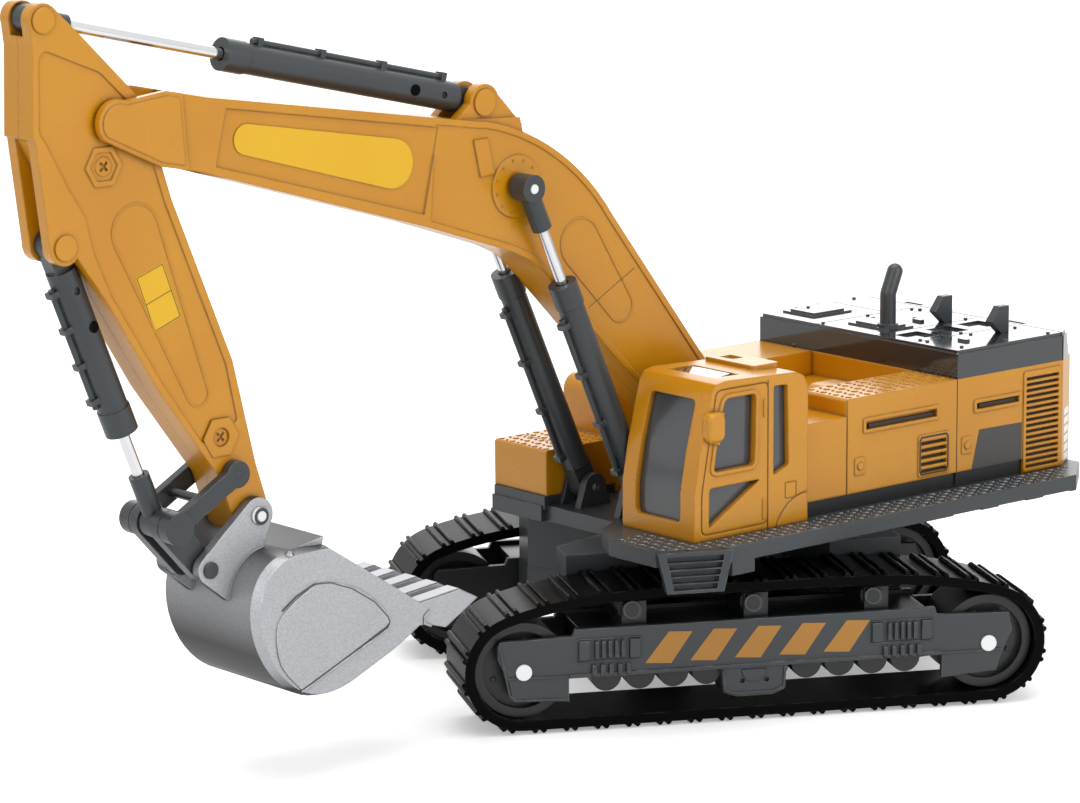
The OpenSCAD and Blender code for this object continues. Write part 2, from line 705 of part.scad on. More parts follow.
// Corner rebate where a sill sits
sill_z = 48.5;
sill_end = 75;
module sill_block(grow) {
    inner = 32;
    translate([-0.6 - grow, -house_y + 0.5 - grow*2, deck_z - grow])
        cube([sill_end + 0.6 + grow, house_y - inner - 0.5 + grow*2, sill_z - deck_z + grow]);
}

module sills() {
    color(BLACK) placed() for (side = [-1, 1]) on_side(side) sill_block(0);
}

module left_housing() {
    inner_y = 10;
    tool_in = 19.6;
    tool_x = 13.1;
    color(ORANGE) placed() difference() {
        union() {
            slab(-house_y, -inner_y) polygon([[-1.7, deck_z], [-1.7, low_box_z], [tool_x, low_box_z],
                [tool_x, low_box_z - 2], [bay_x, low_box_z - 2], [bay_x, deck_z]]);
            slab(-house_y, -tool_in) polygon([[tool_x, 60], [tool_x, bay_z - 0.6], [tool_x + 0.6, bay_z],
                [bay_x, bay_z], [bay_x, 60]]);
            side_rim(19.5, 44, 63.8, 65.8);
            side_rim(38.5, 47.4, 50.1, 58.8);
            side_lock(17.6, 55);
            // Rounded box behind the boom
            slab(-tool_in, -inner_y) polygon(concat([[24, 60]], arc([27, low_box_z], 3, 180, 90, 6),
                arc([33, low_box_z], 3, 90, 0, 6), [[36, 60]]));
        }
        sill_block(0.5);
        side_slot(19.5, 44, 63.8, 65.8);
        side_grille(38.5, 47.4, 50.1, 58.8, 5);
        // Seam between low box and tool box
        slab(-house_y - 1, -house_y + 0.4) translate([tool_x, deck_z]) square([0.4, low_box_z]);
    }
}

module right_housing() {
    in_y = 16.2;
    front = -16;
    color(ORANGE) placed() {
        difference() {
            mirror([0, 1, 0]) slab(-house_y, -in_y) polygon(concat([[front, deck_z]],
                arc([front + 4, bay_z - 4], 4, 180, 90, 8), [[bay_x, bay_z], [bay_x, deck_z]]));
            mirror([0, 1, 0]) sill_block(0.5);
            mirror([0, 1, 0]) side_grille(20, 44, 52, 66, 8);
        }
        // Tank
        difference() {
            mirror([0, 1, 0]) slab(-house_y, -in_y) polygon([[-tank_front, deck_z + 2.4],
                [-tank_front, tank_z - 0.5], [-tank_front + 0.5, tank_z], [front, tank_z],
                [front, deck_z + 2.4]]);
            translate([-tank_front + 8, in_y - 1, tank_z - 3]) cube([0.4, house_y, 4]);
        }
    }
}

function bay_plan(d) = [
    [bay_x + d, -house_y + d], [side_end_x + 0.4, -house_y + d], [rear_x - d, -house_y + 4.8 + d/2],
    [rear_x - d, house_y - 4.8 - d/2], [side_end_x + 0.4, house_y - d], [bay_x + d, house_y - d]];

module rear_housing() {
    color(ORANGE) placed() difference() {
        union() {
            translate([0, 0, deck_z]) linear_extrude(bay_z - deck_z) polygon(bay_plan(0));
            // Low centre block in front of the engine bay
            translate([24, -10, deck_z]) cube([bay_x - 23.9, 26.2, 21]);
            for (side = [-1, 1]) on_side(side) {
                side_rim(58, 73.2, 63.6, 65.2);
                side_rim(75.8, 87.6, 46, 70);
                side_lock(54.7, 55);
            }
        }
        for (side = [-1, 1]) on_side(side) {
            sill_block(0.5);
            side_slot(58, 73.2, 63.6, 65.2);
            side_grille(75.8, 87.6, 46, 70, slat_count);
        }
        // Cooling slots in the rear face
        for (i = [0:6])
            translate([rear_x - 1, -22, 50 + i*2.6]) cube([2, 44, 1.3]);
    }
}

// Foot of the exhaust on the cover
stack_x = 61.7;
stack_y = -0.7;
stack_foot = 2.55;

module engine_cover() {
    shelf = 0.8;
    step_t = 0.4;
    louvre = 1.4;
    seam = 0.35;
    // Left front corner and size of each louvred hatch
    hatches = [[57.2, 21.8, 13.6, 11.6], [57.8, -5, 8.8, 14.8]];
    color(DARK) placed() difference() {
        union() {
            translate([0, 0, bay_z]) linear_extrude(cover_t - shelf) polygon(bay_plan(0));
            translate([0, 0, cover_z - shelf]) linear_extrude(shelf) polygon(bay_plan(0.5));
            // Louvred hatches, each in two steps
            for (h = hatches, i = [0, 1]) translate([h[0] + i*louvre, h[1] + i*louvre, cover_z - eps])
                cube([h[2] - 2*i*louvre, h[3] - 2*i*louvre, step_t*(i + 1)]);
            // Tabs
            for (p = [[72.6, -1.6], [61.4, -22.6], [61.6, -28.6]]) translate([p[0], p[1], cover_z - eps])
                cube([1.3, 3, 0.6]);
        }
        // Room for the foot of the exhaust
        translate([stack_x, stack_y, cover_z]) cylinder(r = stack_foot + 0.2, h = 3);
        // Grilles sunk in the top
        for (x = [55.2, 66.2, 77.5]) translate([x, -17.4, cover_z - 0.6]) cube([8, 7.8, 1]);
        // Seams across the top, and slots behind the rear seam
        for (y = [14.8, -6.8, -20.4]) translate([bay_x - 1, y, cover_z - seam])
            cube([side_end_x - bay_x, seam, 1]);
        translate([76.5, 15.6, cover_z - seam]) cube([seam, house_y, 1]);
        for (y = [16, -20.8]) translate([side_end_x + 1.2, y, cover_z - 1]) cube([1.4, 6.2, 3]);
        // Seam before the rear hood, and the slope behind it
        difference() {
            translate([side_end_x, -house_y - 1, bay_z - 1]) cube([0.4, 2*house_y + 2, cover_t + 2]);
            translate([side_end_x - 1, -house_y + 1, bay_z - 2]) cube([2, 2*house_y - 2, cover_t + 1.6]);
        }
        slab(-house_y - 1, house_y + 1) polygon([[side_end_x + 3.4, cover_z + 1], [rear_x + 1, cover_z + 1],
            [rear_x + 1, bay_z - 1], [rear_x - 1.2, bay_z - 1]]);
    }
}

module exhaust_pipe() {
    stack_r = stack_foot - 0.5;
    bend_h = 8.7;
    lean = 23;
    color(DARK) placed() translate([stack_x, stack_y, cover_z]) {
        cylinder(r = stack_foot, h = 1);
        cylinder(r = stack_r, h = bend_h);
        translate([0, 0, bend_h]) {
            sphere(r = stack_r);
            rotate([0, lean, 0]) cylinder(r = stack_r, h = 6);
            rotate([0, lean, 0]) translate([0, 0, 6]) sphere(r = stack_r);
        }
    }
}

module cover_fins() {
    thick = 2.2;
    color(DARK) placed() for (y = [-5, -25])
        slab(y - thick/2, y + thick/2) translate([79.5, cover_z])
            polygon([[0, 0], [0, 6.9], [-3.3, 6.9], [-6.2, 3.2], [-2.6, 0]]);
}

// Pin across the working gear, with a head at each end
module gear_pin(p, r, half, head_r) {
    translate([0, boom_y, 0]) {
        cross_bar(p, r, -half, half);
        for (y = [-half - pin_head_t, half]) cross_bar(p, head_r, y, y + pin_head_t);
    }
}

module boom_foot_pin() {
    color(STEEL) placed() gear_pin(foot, 1.6, boom_y2 + side_gap + 2.4, 2.6);
}

module boom_tube_pins() {
    reach = eye_y2 + side_gap + 1.1;
    color(STEEL) placed() for (side = [-1, 1]) on_gear(side)
        cross_bar(tube_foot, pin_r, -tube_y - reach, -tube_y + reach);
}

// ================= boom

function boom_outline() = concat(
    arc(arm_pivot, 5.2, 222, 66), [arm_pivot + [13, 5.9], arm_pivot + [24.2, 3.4], knee + [-11, 16.2]],
    arc(knee + [-21.8, -45.1], 62.5, 78, 34), [foot + [-12.4, 27.2]], arc(foot, 7.5, 25, -126),
    [foot + [-38.5, 27.6], knee + [8.4, -21.5], knee + [4.4, -18.1], knee + [-1.9, -15.2],
     knee + [-26.8, -6.8], arm_pivot + [21.4, -12.8], arm_pivot + [11, -10.6]]);

function cheek_outline() = concat(
    arc(arm_pivot, 5.2, 222, 66), [arm_pivot + [13, 5.9], arm_pivot + [17.2, 4.9],
        arm_pivot + [18.6, -12.2], arm_pivot + [11, -10.6]]);

function recess_outline() = [
    arm_pivot + [29.4, 0.5], arm_pivot + [26.4, -12.3], knee + [-27.7, -3.8], knee + [-23.2, 16.1]];

// Outline of two round ends of different radius with straight sides
function stadium(c0, r0, c1, r1) = let (h = heading(c0, c1), b = acos((r0 - r1)/norm(c1 - c0)))
    concat(arc(c0, r0, h + b, h + 360 - b), arc(c1, r1, h - b, h + b));

function boom_screw_places() = [
    arm_pivot + [25.5, -4.6], knee + [-14, 0], foot + [-21, 36]];

// Ends of the loop on the boom's sides
loop_top = knee + [19.8, -15.6];
loop_low = knee + [32.5, -32.4];

module boom_half(side) {
    rim = 1.5;
    web = 0.3;
    color(ORANGE) placed() on_gear(side) difference() {
        union() {
            difference() {
                slab(-boom_y2, 0) polygon(boom_outline());
                intersection() {
                    slab(-boom_y2 - 1, -boom_y2 + web) polygon(inset(boom_outline(), rim));
                    slab(-boom_y2 - 1, 0) polygon([knee + [-22.4, 40], foot + [60, 100], foot + [60, -4],
                        foot + [-60, -4], knee + [-26.8, -20]]);
                }
            }
            // Loop, block and flange that stand on the sunk side
            difference() {
                slab(-boom_y2 + 0.1, -boom_y2 + web + eps) polygon(stadium(loop_top, 6.2, loop_low, 4));
                slab(-boom_y2 - 1, -boom_y2 + web) polygon(stadium(loop_top, 5.8, loop_low, 3.6));
            }
            slab(-boom_y2 - 0.2, -boom_y2 + web + eps)
                polygon([knee + [-12.9, 12.1], knee + [-8.5, 12.1], knee + [-6.7, 3.6], knee + [-10.9, 3.2]]);
            slab(-cheek_y2, -boom_y2 + eps) polygon(cheek_outline());
            slab(-cheek_y2 - 0.25, -cheek_y2 + eps) polygon(inset(cheek_outline(), 1));
            // Ear for the arm tube, on a raised foot
            slab(-slot_y2 - 2.6, -slot_y2) polygon(concat(arc(bracket, 4.3, 180, 20),
                [knee + [3.4, 14], knee + [-20, 14]]));
            slab(-slot_y2 - 3.4, -slot_y2) polygon([knee + [-19.6, 14], knee + [-18.8, 17.2],
                knee + [2, 16], knee + [3, 12]]);
            // Rim and flange round the end of the boom cylinder
            slab(-boom_y2 - 0.15, -boom_y2 + web + eps) translate(knee) circle(r = 7.4);
        }
        // Slot in which the arm swings
        slab(-fork_y2, 1) translate(arm_pivot) circle(r = slot_r);
        slab(-fork_y2, 1) polygon(concat([arm_pivot], arc(arm_pivot, slot_reach, -60, -22, 6)));
        // Seam across the foot end
        slab(-boom_y2 - 1, -boom_y2 + web + 0.2) polygon([knee + [22.4, -31.6], knee + [37, -23.6],
            knee + [37, -23.9], knee + [22.4, -31.9]]);
        // Long recess for the panel
        slab(-boom_y2 - 1, -boom_y2 + recess_depth) polygon(recess_outline());
        // Bores and the hidden socket of the boom cylinder
        cross_bar(arm_pivot, pin_r, -cheek_y2 + pin_skin, 1);
        cross_bar(foot, 1.6 + fit, -boom_w, 1);
        cross_bar(bracket, pin_r, -boom_w, 1);
        cross_bar(boom_socket, pin_r + boom_play, -boom_w, -boom_y2 + 2.2);
        for (p = boom_screw_places()) cross_bar(p, screw_r, -boom_y2 + 1, 1);
        if (side > 0)
            for (p = boom_screw_places()) cross_bar(p, screw_head_r, -boom_w, -boom_y2 + 1.2);
    }
}

module boom_panels() {
    color(YELLOW) placed() for (side = [-1, 1]) on_gear(side)
        slab(-boom_y2 + recess_depth - panel_t, -boom_y2 + recess_depth)
            polygon(stadium(arm_pivot + [35, -7], 3.5, knee + [-36.5, 8.9], 5.8));
}

// Screw along Y with its head on the right
module side_screw(p, head_y, head_t, tip_y) {
    slot_w = 0.6;
    difference() {
        union() {
            cross_bar(p, screw_head_r, head_y - head_t, head_y);
            cross_bar(p, screw_r, tip_y, head_y - head_t);
        }
        for (a = [45, 135]) translate([p[0], head_y, p[1]]) rotate([0, a, 0])
            cube([2.6, 1, slot_w], center = true);
    }
}

module boom_screws() {
    color(STEEL) placed() translate([0, boom_y, 0]) for (p = boom_screw_places())
        side_screw(p, boom_y2 - 0.2, 1, -boom_y2 + 1);
}

// Pin that ends in blind holes under the skin of the boom's cheeks
pin_skin = 0.6;
module arm_pivot_pin() {
    color(STEEL) placed() translate([0, boom_y, 0])
        cross_bar(arm_pivot, pin_r, -cheek_y2 + pin_skin, cheek_y2 - pin_skin);
}

module arm_tube_pin() {
    color(ORANGE) placed() gear_pin(bracket, pin_r, slot_y2 + 2.6, 3.2);
}

// ================= arm

function arm_outline() = concat(
    arc(rod_top, 3.7, 200, 50), [arm_pivot + [-7.8, 19.4], arm_pivot + [4.4, 7.3], arm_pivot + [6.9, 4.8],
        arm_pivot + [12.6, -11], arm_pivot + [15, -18.5], arm_pivot + [30.7, -56.6],
        bucket_pivot + [1.5, 11.3]],
    arc(bucket_pivot, 5, 8, -150), [bucket_pivot + [-8.5, 9.4], arm_pivot + [10.5, -61.2],
        arm_pivot + [-3.3, -38.7], arm_pivot + [-13.9, -13.8], arm_pivot + [-19.8, -2.8],
        arm_pivot + [-21.1, -2], arm_pivot + [-20.5, 17.6]]);

arm_screw_top = arm_pivot + [-2.7, -9.5];
arm_screw_low = rocker_pivot + [-2.9, 8.6];

// Part of the arm's side that is sunk inside the rim of its edges
function arm_web() = [for (p = [[-18.9, 15.8], [-17.2, 17], [-3.2, 11.2], [3, 5.2], [5.2, 3.6],
    [10.9, -11.6], [13.3, -19.1], [29, -57.2], [31.8, -70.5], [22.2, -74.6], [12, -60.3],
    [-1.8, -37.9], [-12.3, -13.2], [-18, -2.4], [-19.3, -1]]) arm_pivot + p];

module arm_half(side) {
    hex_r = 5;
    hex_t = 0.25;
    web = 0.35;
    color(ORANGE) placed() on_gear(side) difference() {
        union() {
            difference() {
                slab(-arm_y2, 0) polygon(arm_outline());
                slab(-arm_y2 - 1, -arm_y2 + web) polygon(rounded(arm_web(), 0.8, 2));
            }
            // Loop and hexagon boss on the sunk side
            difference() {
                slab(-arm_y2 + web - 0.15, -arm_y2 + web + eps)
                    polygon(stadium(arm_pivot + [5.3, -24.6], 6.4, arm_pivot + [21.2, -63.1], 3));
                slab(-arm_y2 - 1, -arm_y2 + web)
                    polygon(stadium(arm_pivot + [5.3, -24.6], 6, arm_pivot + [21.2, -63.1], 2.6));
            }
            difference() {
                slab(-arm_y2, -arm_y2 + web + eps) translate(arm_screw_top) circle(r = hex_r, $fn = 6);
                slab(-arm_y2 - 1, -arm_y2 + web) translate(arm_screw_top) circle(r = hex_r - 1.4, $fn = 6);
            }
            // Ears for the bucket tube
            slab(-arm_y2, -slot_y2) polygon(concat([arm_pivot + [-20.7, 0]], arc(tube_top, 4, 175, 320),
                [arm_pivot + [-3.3, -38.7], arm_pivot + [-8, -20]]));
            // Hexagon bosses of the screws
            for (p = [arm_screw_low]) slab(-arm_y2 - hex_t, -arm_y2 + eps)
                translate(p) circle(r = hex_r, $fn = 6);
        }
        // Slot for the rod's eye, open to the top
        slab(-slot_y2, 1) translate(rod_top) circle(r = 4.7);
        slab(-slot_y2, 1) polygon([rod_top, rod_top + [0, 7], rod_top + [20, 2],
            rod_top + [20, -11.5], rod_top + [-1.5, -4.4]]);
        cross_bar(rod_top + [-0.54, 0.97], pin_r + arm_play, -slot_y2 - 1.4, 1);
        // Bores
        cross_bar(tube_top, pin_r, -boom_w, 1);
        for (p = [arm_pivot, rocker_pivot, bucket_pivot]) cross_bar(p, pin_r + fit, -boom_w, 1);
        for (p = [arm_screw_top, arm_screw_low]) cross_bar(p, screw_r, -boom_w, 1);
        if (side < 0)
            for (p = [arm_screw_top, arm_screw_low]) cross_bar(p, screw_head_r, -boom_w, -arm_y2 + 1.2);
    }
}

module arm_screws() {
    color(ORANGE) placed() translate([0, boom_y, 0]) mirror([0, 1, 0])
        for (p = [arm_screw_top, arm_screw_low]) side_screw(p, arm_y2 - 0.3, 0.9, -arm_y2 + 1);
}

// Caps that close the ears over the rod's hidden stubs
module arm_rod_caps() {
    color(ORANGE) placed() for (side = [-1, 1]) on_gear(side)
        cross_bar(rod_top, 2.9, -arm_y2 - pin_head_t, -arm_y2);
}

module bucket_tube_pin() {
    color(ORANGE) placed() gear_pin(tube_top, pin_r, arm_y2, 2.9);
}

// ================= bucket

// Outer side outline of the bucket from lip to top edge, from the bucket's hinge
function bucket_back() = through([for (p = [[43.2, -27.6], [32.6, -34], [24.7, -37.6], [17.6, -40.7],
    [11, -42], [5, -41.2], [-0.5, -38], [-5.2, -32.6], [-8.2, -25.6], [-8.7, -18.6],
    [-6.6, -12.6], [-2.2, -8.6], [4, -7.2], [12.4, -7.4]]) bucket_pivot + p], 3);
bucket_top = bucket_pivot + [12.4, -7.4];
bucket_lip = bucket_pivot + [43.2, -27.6];
bucket_core = bucket_pivot + [12, -24];
function toward(p, c, d) = p + d*(c - p)/norm(c - p);

// Closed form of the bucket, shrunk by d, with its sides drawn in
module bucket_form(d) {
    edge = 1.8;
    hull() {
        slab(-bucket_w/2 + edge, bucket_w/2 - edge)
            polygon([for (p = bucket_back()) toward(p, bucket_core, d)]);
        slab(-bucket_w/2 + d, bucket_w/2 - d)
            polygon([for (p = bucket_back())
                toward(p, bucket_core, d + 0.4 + 1.2*max(0, bucket_core[0] - p[0])/20)]);
    }
}

module bucket_ear(side) {
    on_gear(side) slab(-plate_in - ear_t, -plate_in) {
        translate(bucket_pivot) circle(r = 4.1);
        translate(link_foot) circle(r = 3.3);
        polygon([polar(bucket_pivot, 4.1, 128), polar(bucket_pivot, 4.1, -30), bucket_pivot + [-1, -14],
            bucket_pivot + [-5.6, -21], polar(link_foot, 3.3, 232), polar(link_foot, 3.3, 128)]);
    }
}

module bucket_tooth() {
    slab(-tooth_w/2, tooth_w/2) translate(bucket_pivot)
        polygon([[38.5, -24.9], [50.1, -23.6], [55.8, -26.4], [46.1, -32], [40.9, -30.4], [35, -30]]);
}

module bucket_shell() {
    mouth = [bucket_lip + [-3, 6.4], bucket_lip + [6, 22], bucket_top + [4, 16]];
    panel_t = 0.25;
    color(SILVER) placed() difference() {
        union() {
            translate([0, boom_y, 0]) bucket_form(0);
            for (side = [-1, 1]) bucket_ear(side);
            // Top edge plate
            translate([0, boom_y, 0]) slab(-bucket_w/2 + 3, bucket_w/2 - 3) translate(bucket_pivot)
                polygon([[4, -7.2], [13.7, -5.6], [13.7, -8.2], [4, -9.4]]);
            // Raised field on each side
            translate([0, boom_y, 0]) slab(-bucket_w/2 - panel_t, bucket_w/2 + panel_t)
                polygon(through([for (p = [[4, -39.6], [-1.8, -33], [-3, -25], [-0.5, -20.6], [7.3, -16],
                    [12.6, -15.8], [21.1, -18.9], [27.3, -24], [29.6, -27.2], [28, -28.9]])
                        bucket_pivot + p], 3));
            for (i = [0:tooth_count - 1])
                translate([0, boom_y + (i/(tooth_count - 1) - 0.5)*(bucket_w - tooth_w), 0]) bucket_tooth();
        }
        translate([0, boom_y, 0]) {
            bucket_form(shell_t);
            slab(-bucket_w/2 + side_t, bucket_w/2 - side_t)
                polygon(concat([toward(bucket_lip, bucket_core, shell_t)], mouth,
                    [toward(bucket_top, bucket_core, shell_t)]));
            for (p = [bucket_pivot, link_foot]) cross_bar(p, pin_r, -boom_w, boom_w);
        }
    }
}

module bucket_hinge_pin() {
    color(STEEL) placed() gear_pin(bucket_pivot, pin_r, plate_in + ear_t, pin_head_r);
}

module link_pin() {
    color(STEEL) placed() gear_pin(link_foot, pin_r, plate_in + ear_t, pin_head_r);
}

// ================= bucket linkage

module rocker() {
    boss_out = rocker_out + 1.2;
    tie = rocker_pivot + 0.5*(drum - rocker_pivot);
    color(GREY) placed() difference() {
        union() {
            for (side = [-1, 1]) on_gear(side) {
                slab(-rocker_out, -plate_in) polygon(stadium(rocker_pivot, 2.2, drum, 2.2));
                cross_bar(rocker_pivot, 3.1, -rocker_out, -plate_in);
                cross_bar(drum, drum_r, -boss_out, -plate_in);
            }
            translate([0, boom_y, 0]) cross_bar(tie, 1.1, -plate_in - eps, plate_in + eps);
            // Axle of the drum: thick through the link, thin through the rod's eye
            translate([0, boom_y, 0]) cross_bar(drum, 1.9, -plate_in - eps, -slot_y2);
            translate([0, boom_y, 0]) cross_bar(drum, 1.9, slot_y2, plate_in + eps);
            translate([0, boom_y, 0]) cross_bar(drum, pin_r, -slot_y2 - eps, slot_y2 + eps);
        }
        translate([0, boom_y, 0]) cross_bar(rocker_pivot, pin_r, -boom_w, boom_w);
    }
}

module rocker_pin() {
    color(STEEL) placed() translate([0, boom_y, 0]) cross_bar(rocker_pivot, pin_r, -rocker_out, rocker_out);
}

module link() {
    web = 2.6;
    mid = drum + 0.5*(link_foot - drum);
    color(GREY) placed() difference() {
        union() {
            for (side = [-1, 1]) on_gear(side) {
                slab(-arm_y2, -slot_y2) polygon(stadium(drum, drum_r, link_foot, 3));
            }
            // Web between the cheeks
            translate([0, boom_y, 0]) slab(-slot_y2 - eps, slot_y2 + eps)
                polygon(stadium(mid + [1.9, -1.6], web/2, link_foot + [0, 0.5], web/2 + 0.7));
        }
        translate([0, boom_y, 0]) {
            cross_bar(drum, 1.9 + fit, -boom_w, boom_w);
            cross_bar(link_foot, pin_r + link_play, -boom_w, boom_w);
        }
    }
}

// ================= cylinders, drawn along +X from the eye of the tube

// Round bar along X
module bar_x(r, x0, x1) {
    translate([x0, 0, 0]) rotate([0, 90, 0]) cylinder(r = r, h = x1 - x0);
}

module tube(r, length, hose) {
    neck = 6;
    hose_r = 0.75;
    hose_z = hose*(r + hose_r - 0.2);
    difference() {
        union() {
            cross_bar([0, 0], eye_r, -eye_y2, eye_y2);
            translate([0, -eye_y2, -eye_r + 0.4]) cube([neck + 1, eye_w, 2*eye_r - 0.8]);
            bar_x(r, neck, length - collar_len);
            bar_x(r + collar_step, length - collar_len, length);
            // Oil pipe and its clips
            translate([0, 0, hose_z]) bar_x(hose_r, neck + 3, length - collar_len - 2);
            for (i = [0:3])
                translate([neck + 3.5 + i*(length - collar_len - neck - 8)/3, -1.3, hose_z - hose_r - 0.4])
                    cube([1.4, 2.6, 2*hose_r + 0.8]);
        }
        cross_bar([0, 0], pin_r + fit, -eye_w, eye_w);
        bar_x(rod_r + rod_gap, neck + 4, length + 1);
        cross_bar([neck + 5, 0], 0.9, -r - 1, -r + 0.8);
    }
}

module rod(tube_len, length, stroke_in) {
    bar_x(rod_r, tube_len - stroke_in, length - eye_r - 3);
}

module rod_eye(length, r, hole, socket_len) {
    difference() {
        union() {
            cross_bar([length, 0], r, -eye_y2, eye_y2);
            bar_x(socket_r, length - socket_len, length - r + 0.8);
        }
        if (hole > 0) cross_bar([length, 0], hole, -eye_w, eye_w);
        bar_x(rod_r, length - socket_len - 1, length - eye_r - 3);
    }
}

module boom_tube(side) {
    color(DARK) placed() on_gear(side) aim(tube_foot, knee, -tube_y) tube(boom_tube_r, boom_tube_len, 1);
}

module boom_rod(side) {
    color(STEEL) placed() on_gear(side) aim(tube_foot, knee, -tube_y) rod(boom_tube_len, boom_cyl_len, 30);
}

// The eye carries the stub that runs in the boom's hidden socket
module boom_rod_eye(side) {
    color(DARK) placed() on_gear(side) aim(tube_foot, knee, -tube_y) {
        rod_eye(boom_cyl_len, 3.3, 0, 11);
        cross_bar([boom_cyl_len, 0], 3.3, -eye_y2 - 0.6, eye_y2 + 0.6);
        cross_bar([boom_cyl_len, 0], pin_r, eye_y2, tube_y - boom_y2 + 1.8);
    }
}

module arm_tube() {
    color(DARK) placed() aim(bracket, rod_top, boom_y) tube(arm_tube_r, arm_tube_len, -1);
}

module arm_rod() {
    color(STEEL) placed() aim(bracket, rod_top, boom_y) rod(arm_tube_len, arm_cyl_len, 32);
}

module arm_rod_eye() {
    color(DARK) placed() aim(bracket, rod_top, boom_y) {
        rod_eye(arm_cyl_len, eye_r, 0, 9.5);
        cross_bar([arm_cyl_len, 0], pin_r, -slot_y2 - 1.1, slot_y2 + 1.1);
    }
}

module bucket_tube() {
    color(DARK) placed() aim(tube_top, drum, boom_y) tube(arm_tube_r, bucket_tube_len, -1);
}

module bucket_rod() {
    color(STEEL) placed() aim(tube_top, drum, boom_y) rod(bucket_tube_len, bucket_cyl_len, 28);
}

module bucket_rod_eye() {
    color(DARK) placed() aim(tube_top, drum, boom_y)
        rod_eye(bucket_cyl_len, 3.4, pin_r + bucket_play, 12.5);
}

car_body();
slew_ring();
track_frame(-1);  // left_track_frame
track_cover(-1);  // left_track_cover
track_belt(-1);  // left_track_belt
track_wheel(-1, front_axle, 6);  // left_front_wheel
track_wheel(-1, rear_axle, 8);  // left_rear_wheel
axle_pins(-1);  // left_axle_pins
track_frame(1);  // right_track_frame
track_cover(1);  // right_track_cover
track_belt(1);  // right_track_belt
track_wheel(1, front_axle, 6);  // right_front_wheel
track_wheel(1, rear_axle, 8);  // right_rear_wheel
axle_pins(1);  // right_axle_pins
deck();
steps();
slew_washer();
slew_screw();
cab_shell();
cab_windows();
left_housing();
sills();
right_housing();
rear_housing();
engine_cover();
exhaust_pipe();
cover_fins();
boom_foot_pin();
boom_tube_pins();
boom_half(-1);  // boom_left_half
boom_half(1);  // boom_right_half
boom_panels();
boom_screws();
arm_pivot_pin();
arm_tube_pin();
arm_half(-1);  // arm_left_half
arm_half(1);  // arm_right_half
arm_screws();
arm_rod_caps();
bucket_tube_pin();
bucket_shell();
bucket_hinge_pin();
link_pin();
rocker();
rocker_pin();
link();
boom_tube(-1);  // left_boom_tube
boom_tube(1);  // right_boom_tube
arm_tube();
bucket_tube();
boom_rod(-1);  // left_boom_rod
boom_rod(1);  // right_boom_rod
arm_rod();
bucket_rod();
boom_rod_eye(-1);  // left_boom_rod_eye
boom_rod_eye(1);  // right_boom_rod_eye
arm_rod_eye();
bucket_rod_eye();
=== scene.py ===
"""Looks of the toy excavator: a moulded plastic house on rubber tracks, with chromed rods and a
metallic bucket. Sections follow the order in which the toy is put together. Metres, +Z up."""
import math

import bmesh
import bpy
from mathutils import Matrix, Vector
from mathutils.bvhtree import BVHTree


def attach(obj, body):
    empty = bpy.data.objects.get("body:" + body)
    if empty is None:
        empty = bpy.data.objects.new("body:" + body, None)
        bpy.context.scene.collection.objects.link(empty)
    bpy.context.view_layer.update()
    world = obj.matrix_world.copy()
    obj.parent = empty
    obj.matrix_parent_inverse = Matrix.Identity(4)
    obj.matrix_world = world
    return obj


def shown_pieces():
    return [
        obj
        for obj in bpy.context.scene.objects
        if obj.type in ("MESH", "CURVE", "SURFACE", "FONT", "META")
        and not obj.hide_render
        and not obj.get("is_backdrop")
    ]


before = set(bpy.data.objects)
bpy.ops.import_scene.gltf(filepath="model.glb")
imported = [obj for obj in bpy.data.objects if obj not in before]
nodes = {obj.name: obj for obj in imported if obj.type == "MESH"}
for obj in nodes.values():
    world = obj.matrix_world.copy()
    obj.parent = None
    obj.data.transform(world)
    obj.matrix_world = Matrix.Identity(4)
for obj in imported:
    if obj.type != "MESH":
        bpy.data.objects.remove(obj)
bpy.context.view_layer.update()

# ---- The photograph's view
# A long lens from the front left, a little above the toy. All image points are pixels of the
# 1080 x 803 frame: the toy's edges, features of its solids, and fittings that are added here.
PHOTO_W, PHOTO_H = 1080, 803
LENS, SENSOR = 149.44, 36.0
NEAR, FAR = 0.05, 30
EYE = Vector((-0.68180, -0.80081, 0.28636))
AIM = Vector((-0.00180, 0.00152, 0.07500))
ROLL = math.radians(-0.376)
LONG_SIDE = max(PHOTO_W, PHOTO_H)
TOY_AWAY = 1.05
image_points = {
    "left_edge": (1, None),
    "right_edge": (1077, None),
    "top_edge": (None, 1),
    "bottom_edge": (None, 735),
    "front_axle_pin": (521.4, 672.4),
    "rear_axle_pin": (989.1, 644.3),
    "arm_hexagon_top": (105.8, 167.3),
    "arm_hexagon_low": (222.3, 437.5),
    "arm_tube_pin": (486.7, 102),
    "bucket_tube_pin": (68.75, 249.1),
    "left_boom_rod_pin": (537.8, 188.8),
    "exhaust_mouth": (897, 263),
    "bucket_hinge_pin": (261.6, 516.3),
    "cover_front_corner": (957.2, 350.3),
    "front_carrier": (632, 609.8),
    "cover_rivet": (794, 345),
    "upper_hinge": (764.4, 408),
    "bucket_rivet": (289.5, 554.4),
    "arm_tube_port": (415.5, 90),
    "bucket_tube_port": (94, 327),
}

view_data = bpy.data.cameras.new("photo_view")
view_data.lens = LENS
view_data.sensor_width = SENSOR
view_data.sensor_fit = "AUTO"
view_data.clip_start = NEAR
view_data.clip_end = FAR
photo_view = bpy.data.objects.new("photo_view", view_data)
bpy.context.scene.collection.objects.link(photo_view)
photo_view.rotation_mode = "QUATERNION"
photo_view.location = EYE
look = (AIM - EYE).to_track_quat("-Z", "Y").to_matrix()
look = look @ Matrix.Rotation(ROLL, 3, "Z")
photo_view.rotation_quaternion = look.to_quaternion()
bpy.context.scene.camera = photo_view


